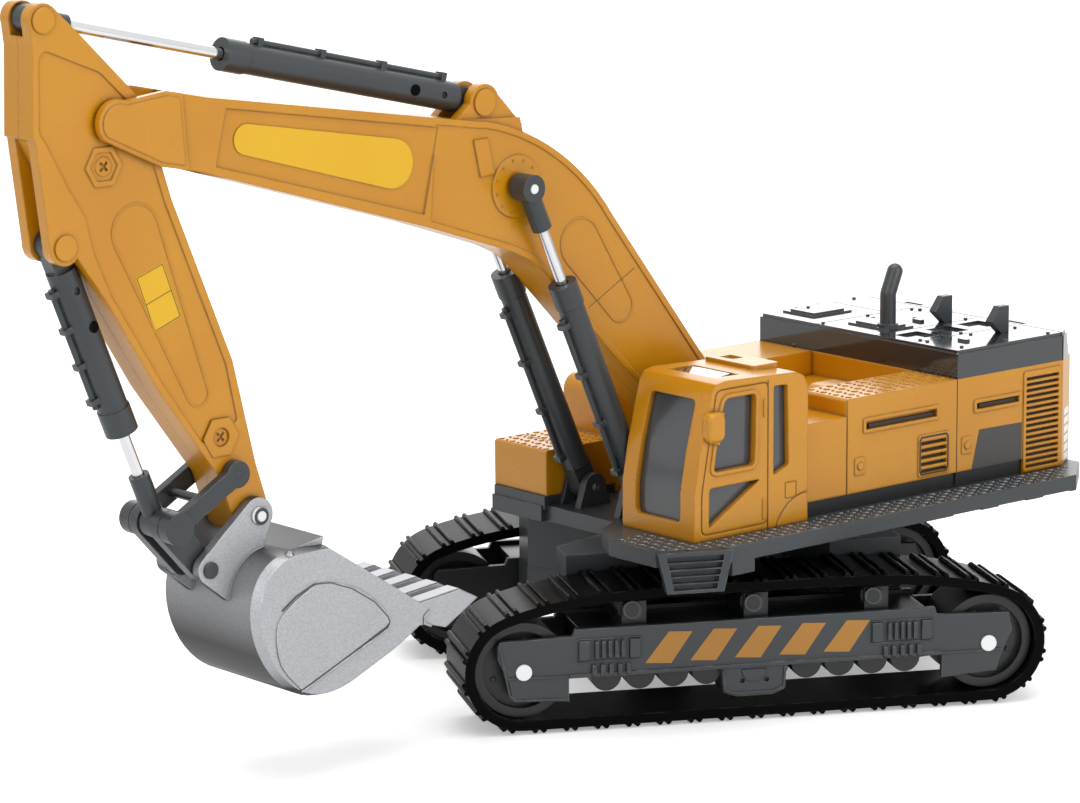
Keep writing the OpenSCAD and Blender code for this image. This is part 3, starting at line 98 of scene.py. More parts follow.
def pixel_of(p):
    """Where a point of the object shows in the photograph's frame."""
    q = look.transposed() @ (Vector(p) - EYE)
    f = LENS / SENSOR * LONG_SIDE / -q.z
    return q.x * f + PHOTO_W / 2, PHOTO_H / 2 - q.y * f


grounds = {}


def ground(name):
    """Ray tree of one CAD node."""
    if name not in grounds:
        o = nodes[name]
        grounds[name] = BVHTree.FromPolygons([o.matrix_world @ v.co for v in o.data.vertices],
                                             [p.vertices for p in o.data.polygons])
    return grounds[name]


def hit(start, way, *names):
    """First point and normal that a ray meets on these CAD nodes, or the nearest to its end."""
    best = None
    for name in names:
        place, normal, _, away = ground(name).ray_cast(start, way)
        if place and (best is None or away < best[2]):
            best = (place, normal, away)
    if best is None:
        end = start + way * TOY_AWAY
        best = min((ground(name).find_nearest(end) for name in names), key=lambda found: found[3])
    place, normal = best[:2]
    return place, normal if normal.dot(way) < 0 else -normal


def seen_at(x, y, *names):
    """The place and normal that the camera sees at an image point of these CAD nodes."""
    way = look @ Vector((x - PHOTO_W / 2, PHOTO_H / 2 - y, -LONG_SIDE * LENS / SENSOR))
    return hit(EYE, way.normalized(), *names)


# ---- The studio
# A white sweep under one broad overhead lamp, with softer lamps in front, at the left and behind.
# Gloss and glass mirror a white room, which lights the toy itself much less.
ROOM_LIGHT = 0.34
FLOOR_HALF, FLOOR_DROP, FLOOR_LIFT = 12.0, 0.0002, 0.34


def lamp(name, place, aim, size, power):
    """Square area lamp of a size in metres and a power in watts."""
    data = bpy.data.lights.new(name, "AREA")
    data.shape = "SQUARE"
    data.size = size
    data.energy = power
    o = bpy.data.objects.new(name, data)
    o.location = place
    o.rotation_mode = "QUATERNION"
    o.rotation_quaternion = (Vector(aim) - Vector(place)).to_track_quat("-Z", "Y")
    bpy.context.scene.collection.objects.link(o)
    return o


def add(tree, kind, values=None, **settings):
    """A new node of a tree, with its settings and the values of its inputs."""
    n = tree.nodes.new(kind)
    for key, value in settings.items():
        setattr(n, key, value)
    for title, value in (values or {}).items():
        n.inputs[title].default_value = value
    return n


def join(tree, *pairs):
    """Links an output to an input, for each pair."""
    for a, b in pairs:
        tree.links.new(a, b)


lamp("overhead", (0.0, 0.1, 1.5), (0, 0, 0), 1.6, 20)
lamp("front", (0.35, -1.6, 0.7), (0, 0, 0.08), 1.1, 12)
lamp("left_side", (-1.5, -0.5, 0.7), (0, 0, 0.08), 1.0, 7)
lamp("backdrop", (1.15, 1.35, 0.5), (0, 0, 0.06), 1.5, 9).visible_camera = False

world = bpy.data.worlds.new("white_room")
bpy.context.scene.world = world
world.use_nodes = True
room = world.node_tree
room.nodes.clear()
path = add(room, "ShaderNodeLightPath")
seen = add(room, "ShaderNodeMath", operation="MAXIMUM")
seen_too = add(room, "ShaderNodeMath", operation="MAXIMUM")
level = add(room, "ShaderNodeMapRange", {"To Min": ROOM_LIGHT, "To Max": 1.0})
air = add(room, "ShaderNodeBackground", {"Color": (1, 1, 1, 1)})
out = add(room, "ShaderNodeOutputWorld")
join(room, (path.outputs["Is Camera Ray"], seen.inputs[0]),
     (path.outputs["Is Glossy Ray"], seen.inputs[1]),
     (seen.outputs[0], seen_too.inputs[0]),
     (path.outputs["Is Transmission Ray"], seen_too.inputs[1]),
     (seen_too.outputs[0], level.inputs["Value"]),
     (level.outputs[0], air.inputs["Strength"]),
     (air.outputs[0], out.inputs[0]))

floor_mesh = bpy.data.meshes.new("floor")
floor_mesh.from_pydata([(x * FLOOR_HALF, y * FLOOR_HALF, 0) for x, y in ((-1, -1), (1, -1), (1, 1), (-1, 1))],
                       [], [(0, 1, 2, 3)])
floor = bpy.data.objects.new("floor", floor_mesh)
floor.location.z = -FLOOR_DROP
bpy.context.scene.collection.objects.link(floor)
paper = bpy.data.materials.new("white_paper")
paper.use_nodes = True
grain = paper.node_tree
shade = grain.nodes["Principled BSDF"]
shade.inputs["Base Color"].default_value = (0.9, 0.9, 0.9, 1)
shade.inputs["Roughness"].default_value = 0.6
shade.inputs["Specular IOR Level"].default_value = 0.2
lift = add(grain, "ShaderNodeEmission")
rays = add(grain, "ShaderNodeLightPath")
lift_level = add(grain, "ShaderNodeMath", {1: FLOOR_LIFT}, operation="MULTIPLY")
both = add(grain, "ShaderNodeAddShader")
join(grain, (rays.outputs["Is Camera Ray"], lift_level.inputs[0]),
     (lift_level.outputs[0], lift.inputs["Strength"]),
     (shade.outputs[0], both.inputs[0]),
     (lift.outputs[0], both.inputs[1]),
     (both.outputs[0], grain.nodes["Material Output"].inputs["Surface"]))
floor_mesh.materials.append(paper)
floor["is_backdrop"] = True


# ---- Mould surfaces
# The solids come as facets. One node group joins them and shades every surface smooth up to the
# hard edges that the moulds have, and is set on each of them.
WELD = 1e-6
soft = bpy.data.node_groups.new("smooth_to_hard_edges", "GeometryNodeTree")
soft.interface.new_socket("Geometry", in_out="INPUT", socket_type="NodeSocketGeometry")
hard_angle = soft.interface.new_socket("Hard angle", in_out="INPUT", socket_type="NodeSocketFloat")
hard_angle.default_value = math.radians(30)
soft.interface.new_socket("Geometry", in_out="OUTPUT", socket_type="NodeSocketGeometry")
facets = add(soft, "NodeGroupInput")
weld = add(soft, "GeometryNodeMergeByDistance", {"Distance": WELD})
faces = add(soft, "GeometryNodeSetShadeSmooth", domain="FACE")
edges = add(soft, "GeometryNodeSetShadeSmooth", {"Shade Smooth": False}, domain="EDGE")
bend = add(soft, "GeometryNodeInputMeshEdgeAngle")
hard = add(soft, "FunctionNodeCompare", data_type="FLOAT", operation="GREATER_THAN")
surface = add(soft, "NodeGroupOutput")
join(soft, (facets.outputs[0], weld.inputs["Geometry"]),
     (weld.outputs[0], faces.inputs["Geometry"]),
     (faces.outputs[0], edges.inputs["Geometry"]),
     (bend.outputs["Unsigned Angle"], hard.inputs[0]),
     (facets.outputs[1], hard.inputs[1]),
     (hard.outputs[0], edges.inputs["Selection"]),
     (edges.outputs[0], surface.inputs[0]))
for o in nodes.values():
    if o.type == "MESH":
        o.modifiers.new("smooth_to_hard_edges", "NODES").node_group = soft


# ---- Car body and track frames
# Grey and black mouldings with a fine sprayed grain. Their thin edges are paler in patches, partly
# scuffs and partly a painted highlight, and their hollows are darkened as painted shade. One recipe
# makes every finish of the toy.
MM = 0.001


def linear(r, g, b):
    """sRGB 0-255 as Blender's linear colour."""
    shares = (c / 255 for c in (r, g, b))
    return tuple(((c + 0.055) / 1.055) ** 2.4 if c > 0.04 else c / 12.92 for c in shares) + (1.0,)


def moulding(name, colour, worn, rough, scuff_and_sheen=None, scuff_and_sheen_share=0.5, bump_height=0.02, radius=0.35,
             metal=0.0, coat=0.0, shine=0.5):
    """Moulded plastic that drifts to its worn shade in soft patches, with painted shade in its
    hollows and paler edges, partly scuffs and partly a painted highlight. Heights and radii are
    in millimetres."""
    m = bpy.data.materials.new(name)
    m.use_nodes = True
    t = m.node_tree
    s = t.nodes["Principled BSDF"]
    place = add(t, "ShaderNodeTexCoord").outputs["Object"]
    clouds = add(t, "ShaderNodeTexNoise", {"Scale": 33, "Detail": 3})
    spread = add(t, "ShaderNodeMapRange", {"From Min": 0.35, "From Max": 0.75})
    drift = add(t, "ShaderNodeMix", {"A": linear(*colour), "B": linear(*worn)}, data_type="RGBA")
    fine = add(t, "ShaderNodeTexNoise", {"Scale": 1600, "Detail": 2})
    gloss = add(t, "ShaderNodeMapRange", {"To Min": rough * 0.8, "To Max": rough * 1.25})
    bevel = add(t, "ShaderNodeBevel", {"Radius": radius * MM}, samples=4)
    bump = add(t, "ShaderNodeBump", {"Distance": bump_height * MM, "Strength": 0.6})
    join(t, (place, clouds.inputs["Vector"]),
         (place, fine.inputs["Vector"]),
         (clouds.outputs["Fac"], spread.inputs["Value"]),
         (spread.outputs[0], drift.inputs["Factor"]),
         (clouds.outputs["Fac"], gloss.inputs["Value"]),
         (gloss.outputs[0], s.inputs["Roughness"]),
         (fine.outputs["Fac"], bump.inputs["Height"]),
         (bevel.outputs[0], bump.inputs["Normal"]),
         (bump.outputs[0], s.inputs["Normal"]))
    tone = drift.outputs["Result"]
    # Paler edges in patches: partly scuffs, partly a painted highlight along the edges.
    if scuff_and_sheen:
        real = add(t, "ShaderNodeNewGeometry")
        dot = add(t, "ShaderNodeVectorMath", operation="DOT_PRODUCT")
        edge = add(t, "ShaderNodeMapRange", {"From Min": 0.97, "From Max": 0.80})
        pale_edge_patches = add(t, "ShaderNodeTexNoise", {"Scale": 260, "Detail": 4})
        where = add(t, "ShaderNodeMapRange", {"From Min": 0.48, "From Max": 0.62, "To Max": scuff_and_sheen_share})
        amount = add(t, "ShaderNodeMath", operation="MULTIPLY")
        pale = add(t, "ShaderNodeMix", {"B": linear(*scuff_and_sheen)}, data_type="RGBA")
        join(t, (bevel.outputs[0], dot.inputs[0]),
             (real.outputs["Normal"], dot.inputs[1]),
             (dot.outputs["Value"], edge.inputs["Value"]),
             (place, pale_edge_patches.inputs["Vector"]),
             (pale_edge_patches.outputs["Fac"], where.inputs["Value"]),
             (edge.outputs[0], amount.inputs[0]),
             (where.outputs[0], amount.inputs[1]),
             (amount.outputs[0], pale.inputs["Factor"]),
             (tone, pale.inputs["A"]))
        tone = pale.outputs["Result"]
    # Painted shade: ambient occlusion darkens the colour in hollows and creases.
    hollow = add(t, "ShaderNodeAmbientOcclusion", {"Distance": 1.4 * MM}, samples=6)
    hollow_shade = add(t, "ShaderNodeMapRange", {"From Min": 0.45, "From Max": 0.92, "To Min": 0.56})
    shaded = add(t, "ShaderNodeVectorMath", operation="SCALE")
    join(t, (hollow.outputs["AO"], hollow_shade.inputs["Value"]),
         (tone, shaded.inputs[0]),
         (hollow_shade.outputs[0], shaded.inputs["Scale"]),
         (shaded.outputs[0], s.inputs["Base Color"]))
    s.inputs["Metallic"].default_value = metal
    s.inputs["Coat Weight"].default_value = coat
    s.inputs["Coat Roughness"].default_value = rough * 0.6
    s.inputs["Specular IOR Level"].default_value = shine
    return m


def dress(material, *names):
    """Gives carried-over pieces their finish."""
    for name in names:
        slots = nodes[name].data.materials
        slots.clear()
        slots.append(material)


grey = moulding("grey_plastic", (52, 57, 60), (46, 50, 53), 0.32, scuff_and_sheen=(140, 146, 150), scuff_and_sheen_share=0.7)
black = moulding("black_plastic", (25, 26, 27), (19, 20, 21), 0.32, scuff_and_sheen=(84, 86, 88), scuff_and_sheen_share=0.3)
steel = moulding("steel_pin", (236, 236, 236), (222, 222, 222), 0.3)
dress(black, "slew_ring", "left_track_frame", "right_track_frame")
dress(grey, "car_body")
dress(steel, "slew_washer", "slew_screw")


# ---- Track covers
# Grey covers with cast blocks, held by two pinned axles. Five slanting stripes are sprayed on
# the outside of each through a mask, so their paint is thin.
SIDES = ((-1, "left"), (1, "right"))
SLEW_X = 51.0
TRACK_TURN = math.radians(-27.6)
COVER_Y = 48.1
FIRST_STRIPE = [(-27.9, 15.5), (-21.5, 15.1), (-16.3, 22.6), (-22.1, 22.9)]
STRIPE_COUNT, STRIPE_PITCH, STRIPE_FILM = 5, 11.0, 0.04
PAINT_ROOT = -0.2


def house(x, y, z):
    """A point in millimetres from the slewing axis, in the toy's frame."""
    return Vector((x + SLEW_X, y, z)) * MM


def track(x, y, z):
    """A point in millimetres on the turned tracks, in the toy's frame."""
    c, s = math.cos(TRACK_TURN), math.sin(TRACK_TURN)
    return Vector((x * c - y * s + SLEW_X, x * s + y * c, z)) * MM


def skin(bm, rows):
    """Walls from each row of vertices to the next, closed by the first and the last row."""
    n = len(rows[0])
    bm.faces.new(rows[0])
    bm.faces.new(rows[-1])
    for a, b in zip(rows, rows[1:]):
        for i in range(n):
            j = (i + 1) % n
            bm.faces.new((a[i], a[j], b[j], b[i]))


def prism(bm, outline, place, low, high, rim=0.0):
    """Plate over a closed outline, from low to high, its upper edge rounded by rim."""
    rings = [(outline, low), (outline, high - rim)]
    if rim:
        mid = [sum(p[i] for p in outline) / len(outline) for i in (0, 1)]
        reach = max(math.dist(p, mid) for p in outline)
        top = [[m + (c - m) * (1 - rim / reach) for c, m in zip(p, mid)] for p in outline]
        rings.append((top, high))
    skin(bm, [[bm.verts.new(place(u, v, w)) for u, v in ring] for ring, w in rings])


def made(name, body, material, bm):
    """Turns a bmesh into a piece that rides on a body."""
    bmesh.ops.recalc_face_normals(bm, faces=bm.faces)
    mesh = bpy.data.meshes.new(name)
    bm.to_mesh(mesh)
    bm.free()
    mesh.materials.append(material)
    o = bpy.data.objects.new(name, mesh)
    bpy.context.scene.collection.objects.link(o)
    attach(o, body)
    return o


def on_cover(side):
    """Maps (along, up, out) onto the outer face of one cover."""
    return lambda u, v, w: track(u, side * (COVER_Y + w), v)


dress(grey, "left_track_cover", "right_track_cover")
stripe_paint = moulding("stripe_paint", (168, 118, 42), (156, 107, 36), 0.42, bump_height=0.03, radius=0.1)
for side, name in SIDES:
    bm = bmesh.new()
    for i in range(STRIPE_COUNT):
        stripe = [(x + i * STRIPE_PITCH, z) for x, z in FIRST_STRIPE]
        prism(bm, stripe, on_cover(side), PAINT_ROOT, STRIPE_FILM)
    made(name + "_cover_stripes", "chassis", stripe_paint, bm)


def soft_corners(x0, x1, z0, z1, r, n=5):
    """A rectangle with round corners of n steps each."""
    quarter = math.pi / 2
    corners = ((x1 - r, z1 - r, 0), (x0 + r, z1 - r, quarter), (x0 + r, z0 + r, 2 * quarter),
               (x1 - r, z0 + r, -quarter))
    return [(x + r * math.cos(a + k * quarter / n), z + r * math.sin(a + k * quarter / n))
            for x, z, a in corners for k in range(n + 1)]


def line(bm, path, width, place, low, high, closed=False):
    """A flat band of even width along a path."""
    n = len(path)
    sides = []
    for i, p in enumerate(path):
        a = path[i - 1] if i or closed else p
        b = path[(i + 1) % n] if i < n - 1 or closed else p
        u, v = Vector(p) - Vector(a), Vector(b) - Vector(p)
        u, v = (u if u.length else v).normalized(), (v if v.length else u).normalized()
        m = (u + v) / (1 + u.dot(v)) * width / 2
        sides.append(((p[0] - m.y, p[1] + m.x), (p[0] + m.y, p[1] - m.x)))
    for i in range(n if closed else n - 1):
        (a, b), (c, d) = sides[i], sides[(i + 1) % n]
        prism(bm, [a, b, d, c], place, low, high)


# The castings stand on the blocks and ribs of the solid: a vent near each end with a plate at
# either side, a row of teeth below it, the beads along the edges and the lifting lug's half moon.
VENTS, TEETH = (-36.7, 35.6), (-36, 36)
CAST_ROOT, CAST_CORNER = -0.3, 0.3
BEAD_W, LUG_BEAD_W = 0.5, 0.6
BEADS = [(0.35, [(-61.6, 13.7), (-39.0, 13.3), (-9.5, 13.3)]),
         (0.35, [(7.2, 13.3), (27.7, 13.2), (60.6, 13.4)]),
         (0.3, [(-63.0, 22.6), (-63.4, 21.4), (-60.9, 9.6), (-59.6, 8.3), (-47.2, 7.9)])]
LUG_EDGE = [(-8.6, 12.6), (-8.4, 7.7), (-6.0, 6.7), (3.6, 6.6), (6.3, 7.7), (6.5, 12.6)]
LUG_ROOT, MOON_X, MOON_Z, MOON_R = -0.6, -1.2, 12.4, 3.1


def ribs(bm, place, x, count, pitch, width, z0, z1, high, rim):
    """A row of upright cast ribs, from the front edge of the first."""
    for i in range(count):
        front = x + i * pitch
        prism(bm, soft_corners(front, front + width, z0, z1, CAST_CORNER, 2), place, CAST_ROOT, high, rim)


for side, name in SIDES:
    face = on_cover(side)
    bm = bmesh.new()
    for x in VENTS:
        ribs(bm, face, x - 7.5, count=2, pitch=12.4, width=2.6, z0=17.1, z1=21.9, high=0.8, rim=0.2)
        ribs(bm, face, x - 3.6, count=5, pitch=1.6, width=0.9, z0=17.3, z1=21.7, high=0.95, rim=0.25)
        for z in (16.8, 22.2):
            line(bm, [(x - 7.9, z), (x + 7.9, z)], 0.3, face, CAST_ROOT, 0.3)
    for x in TEETH:
        ribs(bm, face, x - 5.1, count=5, pitch=2.1, width=1.2, z0=13.2, z1=16.0, high=1.0, rim=0.3)
    for high, bead in BEADS:
        line(bm, bead, BEAD_W, face, CAST_ROOT, high)
    line(bm, LUG_EDGE, LUG_BEAD_W, face, LUG_ROOT, 0.3)
    moon = [(MOON_X + MOON_R * math.cos(math.radians(a)), MOON_Z + MOON_R * math.sin(math.radians(a)))
            for a in range(180, 361, 15)]
    prism(bm, moon, face, LUG_ROOT, 0.45, rim=0.2)
    made(name + "_cover_castings", "chassis", grey, bm)


# ---- Belts, wheels and axle pins
# Black rubber belts with paired lugs, with a painted highlight along the lugs' edges. The wheels are
# black mouldings on steel pins, whose white ends show in the covers.
HALF_BASE, BELT_R, LUG_H, CROWN = 57.5, 14.2, 0.9, math.radians(71)
BELT_Y, LUG_PAIRS, LUG_GAP, LUG_HALF = 37.5, 42, 2.1, 11.05
LUG_TAPER, LUG_END = 0.55, 0.5
BAR = [(-0.62, -0.3), (-0.6, 0.3), (-0.42, 0.72), (-0.15, 0.88),
       (0.15, 0.88), (0.42, 0.72), (0.6, 0.3), (0.62, -0.3)]
WHEEL_RUN = BELT_R * (CROWN + math.pi / 2)
CROWN_REACH = HALF_BASE + BELT_R * math.cos(CROWN)
CROWN_SLOPE = 1 / math.tan(CROWN)
TOP_RUN = 2 * CROWN_REACH * (1 + CROWN_SLOPE * CROWN_SLOPE / 14)
BELT_LENGTH = 2 * HALF_BASE + 2 * WHEEL_RUN + TOP_RUN
# The lugs' pale edge colour is a painted highlight along their ridges.
rubber = moulding("black_rubber", (10, 10, 10), (7, 7, 7), 0.24, scuff_and_sheen=(88, 88, 85), bump_height=0.01,
                  shine=0.03)
dress(rubber, "left_track_belt", "right_track_belt")
dress(black, "left_front_wheel", "left_rear_wheel", "right_front_wheel", "right_rear_wheel")
dress(steel, "left_axle_pins", "right_axle_pins")


def belt_station(s):
    """Place along the belt's outer face and its outward angle, as the solids have them: the flat
    below, the rear wheel, the crowned top run and the front wheel."""
    if s < 2 * HALF_BASE:
        return s - HALF_BASE, LUG_H, -math.pi / 2
    s -= 2 * HALF_BASE
    if s < WHEEL_RUN or s >= WHEEL_RUN + TOP_RUN:
        rear = s < WHEEL_RUN
        a = -math.pi / 2 + s / BELT_R if rear else math.pi - CROWN + (s - WHEEL_RUN - TOP_RUN) / BELT_R
        x = HALF_BASE if rear else -HALF_BASE
        return x + BELT_R * math.cos(a), BELT_R + LUG_H + BELT_R * math.sin(a), a
    x = CROWN_REACH * (1 - 2 * (s - WHEEL_RUN) / TOP_RUN)
    foot = BELT_R + LUG_H + BELT_R * math.sin(CROWN)
    z = foot + CROWN_REACH * CROWN_SLOPE / 4 * (1 - (x / CROWN_REACH) ** 4)
    return x, z, math.pi / 2 - math.atan(CROWN_SLOPE * (x / CROWN_REACH) ** 3)


for side, name in SIDES:
    bm = bmesh.new()
    for k in range(2 * LUG_PAIRS):
        x, z, a = belt_station((k // 2 + 0.5) * BELT_LENGTH / LUG_PAIRS + (k % 2 - 0.5) * LUG_GAP)
        rows = []
        for y, scale in ((-LUG_HALF, LUG_TAPER), (-LUG_HALF + LUG_END, 1), (LUG_HALF - LUG_END, 1),
                         (LUG_HALF, LUG_TAPER)):
            rows.append([bm.verts.new(track(x + h * scale * math.cos(a) - t * math.sin(a), side * BELT_Y + y,
                                            z + h * scale * math.sin(a) + t * math.cos(a))) for t, h in BAR])
        skin(bm, rows)
    made(name + "_belt_lugs", "chassis", rubber, bm)


# ---- Carrier rollers
# Three black rollers hold up the top run of each belt. Above the left cover the end of each shows
# as a grey rim round a black hub. Geometry nodes set these, as they set all studs and rivets.
CARRIER_COUNT, CARRIER_PITCH, CARRIER_FALL = 3, 29.8, 0.1
HUB_PROUD = 0.3
STUD_SEED, STUD_ROOT = 7, 0.05
stud_group = bpy.data.node_groups.new("moulded_studs", "GeometryNodeTree")
sockets = stud_group.interface
sockets.new_socket("Geometry", in_out="INPUT", socket_type="NodeSocketGeometry")
STUD_INPUTS = {}
for title, kind in (("Sides", "Int"), ("Foot radius", "Float"), ("Top radius", "Float"), ("Height", "Float"),
                    ("Narrow", "Float"), ("Finish", "Material")):
    socket = sockets.new_socket(title, in_out="INPUT", socket_type="NodeSocket" + kind)
    STUD_INPUTS[title] = socket.identifier
sockets.new_socket("Geometry", in_out="OUTPUT", socket_type="NodeSocketGeometry")
given = add(stud_group, "NodeGroupInput").outputs
cone = add(stud_group, "GeometryNodeMeshCone")
turned = add(stud_group, "GeometryNodeInputNamedAttribute", {"Name": "turn"}, data_type="FLOAT_VECTOR")
vary = add(stud_group, "FunctionNodeRandomValue", {"Seed": STUD_SEED}, data_type="FLOAT")
smallest, largest = [i for i in vary.inputs if i.name in ("Min", "Max") and i.enabled]
smallest.default_value = 0.95
largest.default_value = 1.05
share = [o for o in vary.outputs if o.enabled][0]
thin = add(stud_group, "ShaderNodeMath", operation="MULTIPLY")
size = add(stud_group, "ShaderNodeCombineXYZ")
each = add(stud_group, "GeometryNodeInstanceOnPoints")
points = add(stud_group, "GeometryNodeMeshToPoints")
real = add(stud_group, "GeometryNodeRealizeInstances")
paint = add(stud_group, "GeometryNodeSetMaterial")
result = add(stud_group, "NodeGroupOutput")
join(stud_group, (given["Sides"], cone.inputs["Vertices"]),
     (given["Foot radius"], cone.inputs["Radius Bottom"]),
     (given["Top radius"], cone.inputs["Radius Top"]),
     (given["Height"], cone.inputs["Depth"]),
     (given["Geometry"], points.inputs["Mesh"]),
     (points.outputs[0], each.inputs["Points"]),
     (cone.outputs["Mesh"], each.inputs["Instance"]),
     ([o for o in turned.outputs if o.enabled][0], each.inputs["Rotation"]),
     (share, thin.inputs[0]),
     (given["Narrow"], thin.inputs[1]),
     (share, size.inputs["X"]),
     (thin.outputs[0], size.inputs["Y"]),
     (share, size.inputs["Z"]),
     (size.outputs[0], each.inputs["Scale"]),
     (each.outputs[0], real.inputs[0]),
     (real.outputs[0], paint.inputs["Geometry"]),
     (given["Finish"], paint.inputs["Material"]),
     (paint.outputs[0], result.inputs[0]))


def studs(name, body, material, spots, foot, top, height, sides=8, narrow=1.0):
    """Low studs on spots of (place, outward normal, turn about it), sunk a hair into their ground."""
    base = bpy.data.meshes.new(name)
    base.from_pydata([place - normal * STUD_ROOT * MM for place, normal, _ in spots], [], [])
    turn = base.attributes.new("turn", "FLOAT_VECTOR", "POINT")
    for i, (_, normal, angle) in enumerate(spots):
        q = normal.to_track_quat("Z", "Y").to_matrix() @ Matrix.Rotation(angle, 3, "Z")
        turn.data[i].vector = q.to_euler("XYZ")
    o = bpy.data.objects.new(name, base)
    bpy.context.scene.collection.objects.link(o)
    grow = o.modifiers.new("studs", "NODES")
    grow.node_group = stud_group
    for title, value in (("Sides", sides), ("Foot radius", foot * MM), ("Top radius", top * MM),
                         ("Height", (height + STUD_ROOT) * MM), ("Narrow", narrow), ("Finish", material)):
        grow[STUD_INPUTS[title]] = value
    grown = bpy.data.meshes.new_from_object(o.evaluated_get(bpy.context.evaluated_depsgraph_get()))
    o.modifiers.clear()
    o.data = grown
    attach(o, body)
    return o


def spot_at(name, *carriers):
    """The unturned spot on these CAD nodes that shows at a named image point."""
    place, normal = seen_at(*image_points[name], *carriers)
    return place, normal, 0.0


front_carrier, outward, _ = spot_at("front_carrier", "left_track_frame")
step = track(CARRIER_PITCH, 0, -CARRIER_FALL) - track(0, 0, 0)
rims = [(front_carrier + step * i, outward, 0.0) for i in range(CARRIER_COUNT)]
hubs = [(place + outward * HUB_PROUD * MM, outward, 0.0) for place, _, _ in rims]
studs("left_carrier_rims", "chassis", grey, rims, foot=2.3, top=2.2, height=0.3, sides=24)
studs("left_carrier_hubs", "chassis", black, hubs, foot=1.6, top=1.55, height=0.08, sides=24)


# ---- Deck and steps
# The deck is one grey moulding with a walkway of low lozenges along the cab's side, glossier and
# paler than the deck, the paler grey being a painted highlight. The steps hang below the cab.
DECK_Z = 44.8
# The lozenges' pale grey is a painted highlight.
tread_highlight = moulding("tread_painted_highlight", (84, 88, 91), (66, 70, 73), 0.24, bump_height=0.01, radius=0.1,
                   coat=0.5)
dress(grey, "deck", "steps")


def tread(x0, x1, y0, y1, z, pitch_x, pitch_y, keep=lambda x, y: True):
    """Spots of a tread plate: lozenges that lean left and right by turns."""
    spots = []
    nx, ny = int((x1 - x0) / pitch_x), int((y1 - y0) / pitch_y)
    for i in range(nx + 1):
        for j in range(ny + 1):
            x = x0 + (x1 - x0) * i / nx
            y = y0 + (y1 - y0) * j / ny
            if keep(x, y):
                spots.append((house(x, y, z), Vector((0, 0, 1)), math.radians(45 if (i + j) % 2 else -45)))
    return spots


def on_walkway(x, y):
    """Inside the deck's rear chamfer and front slant, and clear of the cab and the house."""
    if x > 81 and y < -44.6 + (x - 81) * 0.85:
        return False
    if x < -35:
        return y > -38.5 - (x + 50) * 0.5 and not (x > -39.8 and y > -39.2)
    return y < -39.4 if x < -1 else y < -37.2


studs("walkway_tread", "house", tread_highlight, tread(-49.2, 91, -45, -23.5, DECK_Z, 2.6, 1.75, keep=on_walkway),
      foot=1.0, top=0.6, height=0.26, sides=4, narrow=0.42)


# ---- House sides
# Orange mouldings with sunk louvres and slots, whose bottoms are darkened as painted shade. A dark
# field is sprayed behind the side's seam, and white blocks mark the chamfered rear corners.
HOUSE_Y = 35.8
PAINT_FILM = 0.05
DARK_FIELD = [(59.2, 58.3), (74.5, 58.1), (74.5, 48.5), (56.6, 48.5)]
# Front, rear, foot and top of each bank of louvres, with their number. Front, rear and foot of
# each slot
LOUVRES = {"left": [(75.8, 87.6, 46.0, 70.0, 16), (38.5, 47.4, 50.1, 58.8, 5)],
           "right": [(75.8, 87.6, 46.0, 70.0, 16)]}
SLOTS = {"left": [(58.0, 73.2, 63.6), (19.5, 44.0, 63.8)], "right": [(58.0, 73.2, 63.6)]}
CHAMFER_X, CHAMFER = 89.4, Vector((7.6, 4.8)).normalized()
MARK_COUNT, MARK_TOP, MARK_PITCH, MARK_H = 6, 57.3, 2.35, 1.7
VENT_RING = [(38.1, 50.6), (38.6, 49.8), (47.2, 49.8), (47.8, 50.6),
             (47.8, 58.4), (47.2, 59.1), (38.6, 59.1), (38.1, 58.4)]
FRONT_SEAM = [(13.2, 46.0), (13.2, 67.5)]
orange = moulding("orange_plastic", (198, 135, 8), (190, 126, 4), 0.27, scuff_and_sheen=(222, 166, 70), scuff_and_sheen_share=0.45,
                  radius=0.7, coat=0.12)
dark_paint = moulding("dark_paint", (66, 64, 62), (58, 56, 55), 0.4, bump_height=0.03, radius=0.1)
# Dark brown for the seams' joints, and as painted shade in the louvres and slots and round the left vent.
joint_and_recess_shade = moulding("dark_joints_and_painted_shade", (54, 40, 26), (40, 30, 22), 0.55, bump_height=0.03, radius=0.1)
white_paint = moulding("white_paint", (238, 238, 236), (228, 228, 226), 0.4, bump_height=0.03, radius=0.1)
dress(orange, "left_housing", "right_housing", "rear_housing")
dress(black, "sills")


def flank(side, y, middle=0.0):
    """Maps (along, up, out) onto an upright face that lies y beside the middle."""
    return lambda u, v, w: house(u, middle + side * (y + w), v)


def on_chamfer(side):
    """Maps (along from the side wall, up, out) onto a rear corner's chamfer."""
    return lambda u, v, w: house(CHAMFER_X + CHAMFER.x * u + CHAMFER.y * w,
                                 side * (HOUSE_Y - CHAMFER.y * u + CHAMFER.x * w), v)


def oblong(x0, x1, z0, z1):
    """An upright rectangle's outline."""
    return [(x0, z0), (x1, z0), (x1, z1), (x0, z1)]


for side, name in SIDES:
    wall = flank(side, HOUSE_Y)
    bm = bmesh.new()
    prism(bm, DARK_FIELD, wall, PAINT_ROOT, PAINT_FILM)
    made(name + "_dark_field", "house", dark_paint, bm)
    bm = bmesh.new()
    # Painted shade: a dark strip over the lower half of each louvre and along the foot of each slot.
    for x0, x1, z0, z1, count in LOUVRES[name]:
        pitch = (z1 - z0) / count
        for i in range(count):
            z = z0 + i * pitch
            prism(bm, oblong(x0 + 0.05, x1 - 0.05, z + 0.05, z + pitch / 2), wall, -1.1, -0.85)
    for x0, x1, z0 in SLOTS[name]:
        prism(bm, oblong(x0 + 1.6, x1 - 0.2, z0 + 0.05, z0 + 1.1), wall, -1.4, -0.5)
    made(name + "_louvre_shade", "house", joint_and_recess_shade, bm)

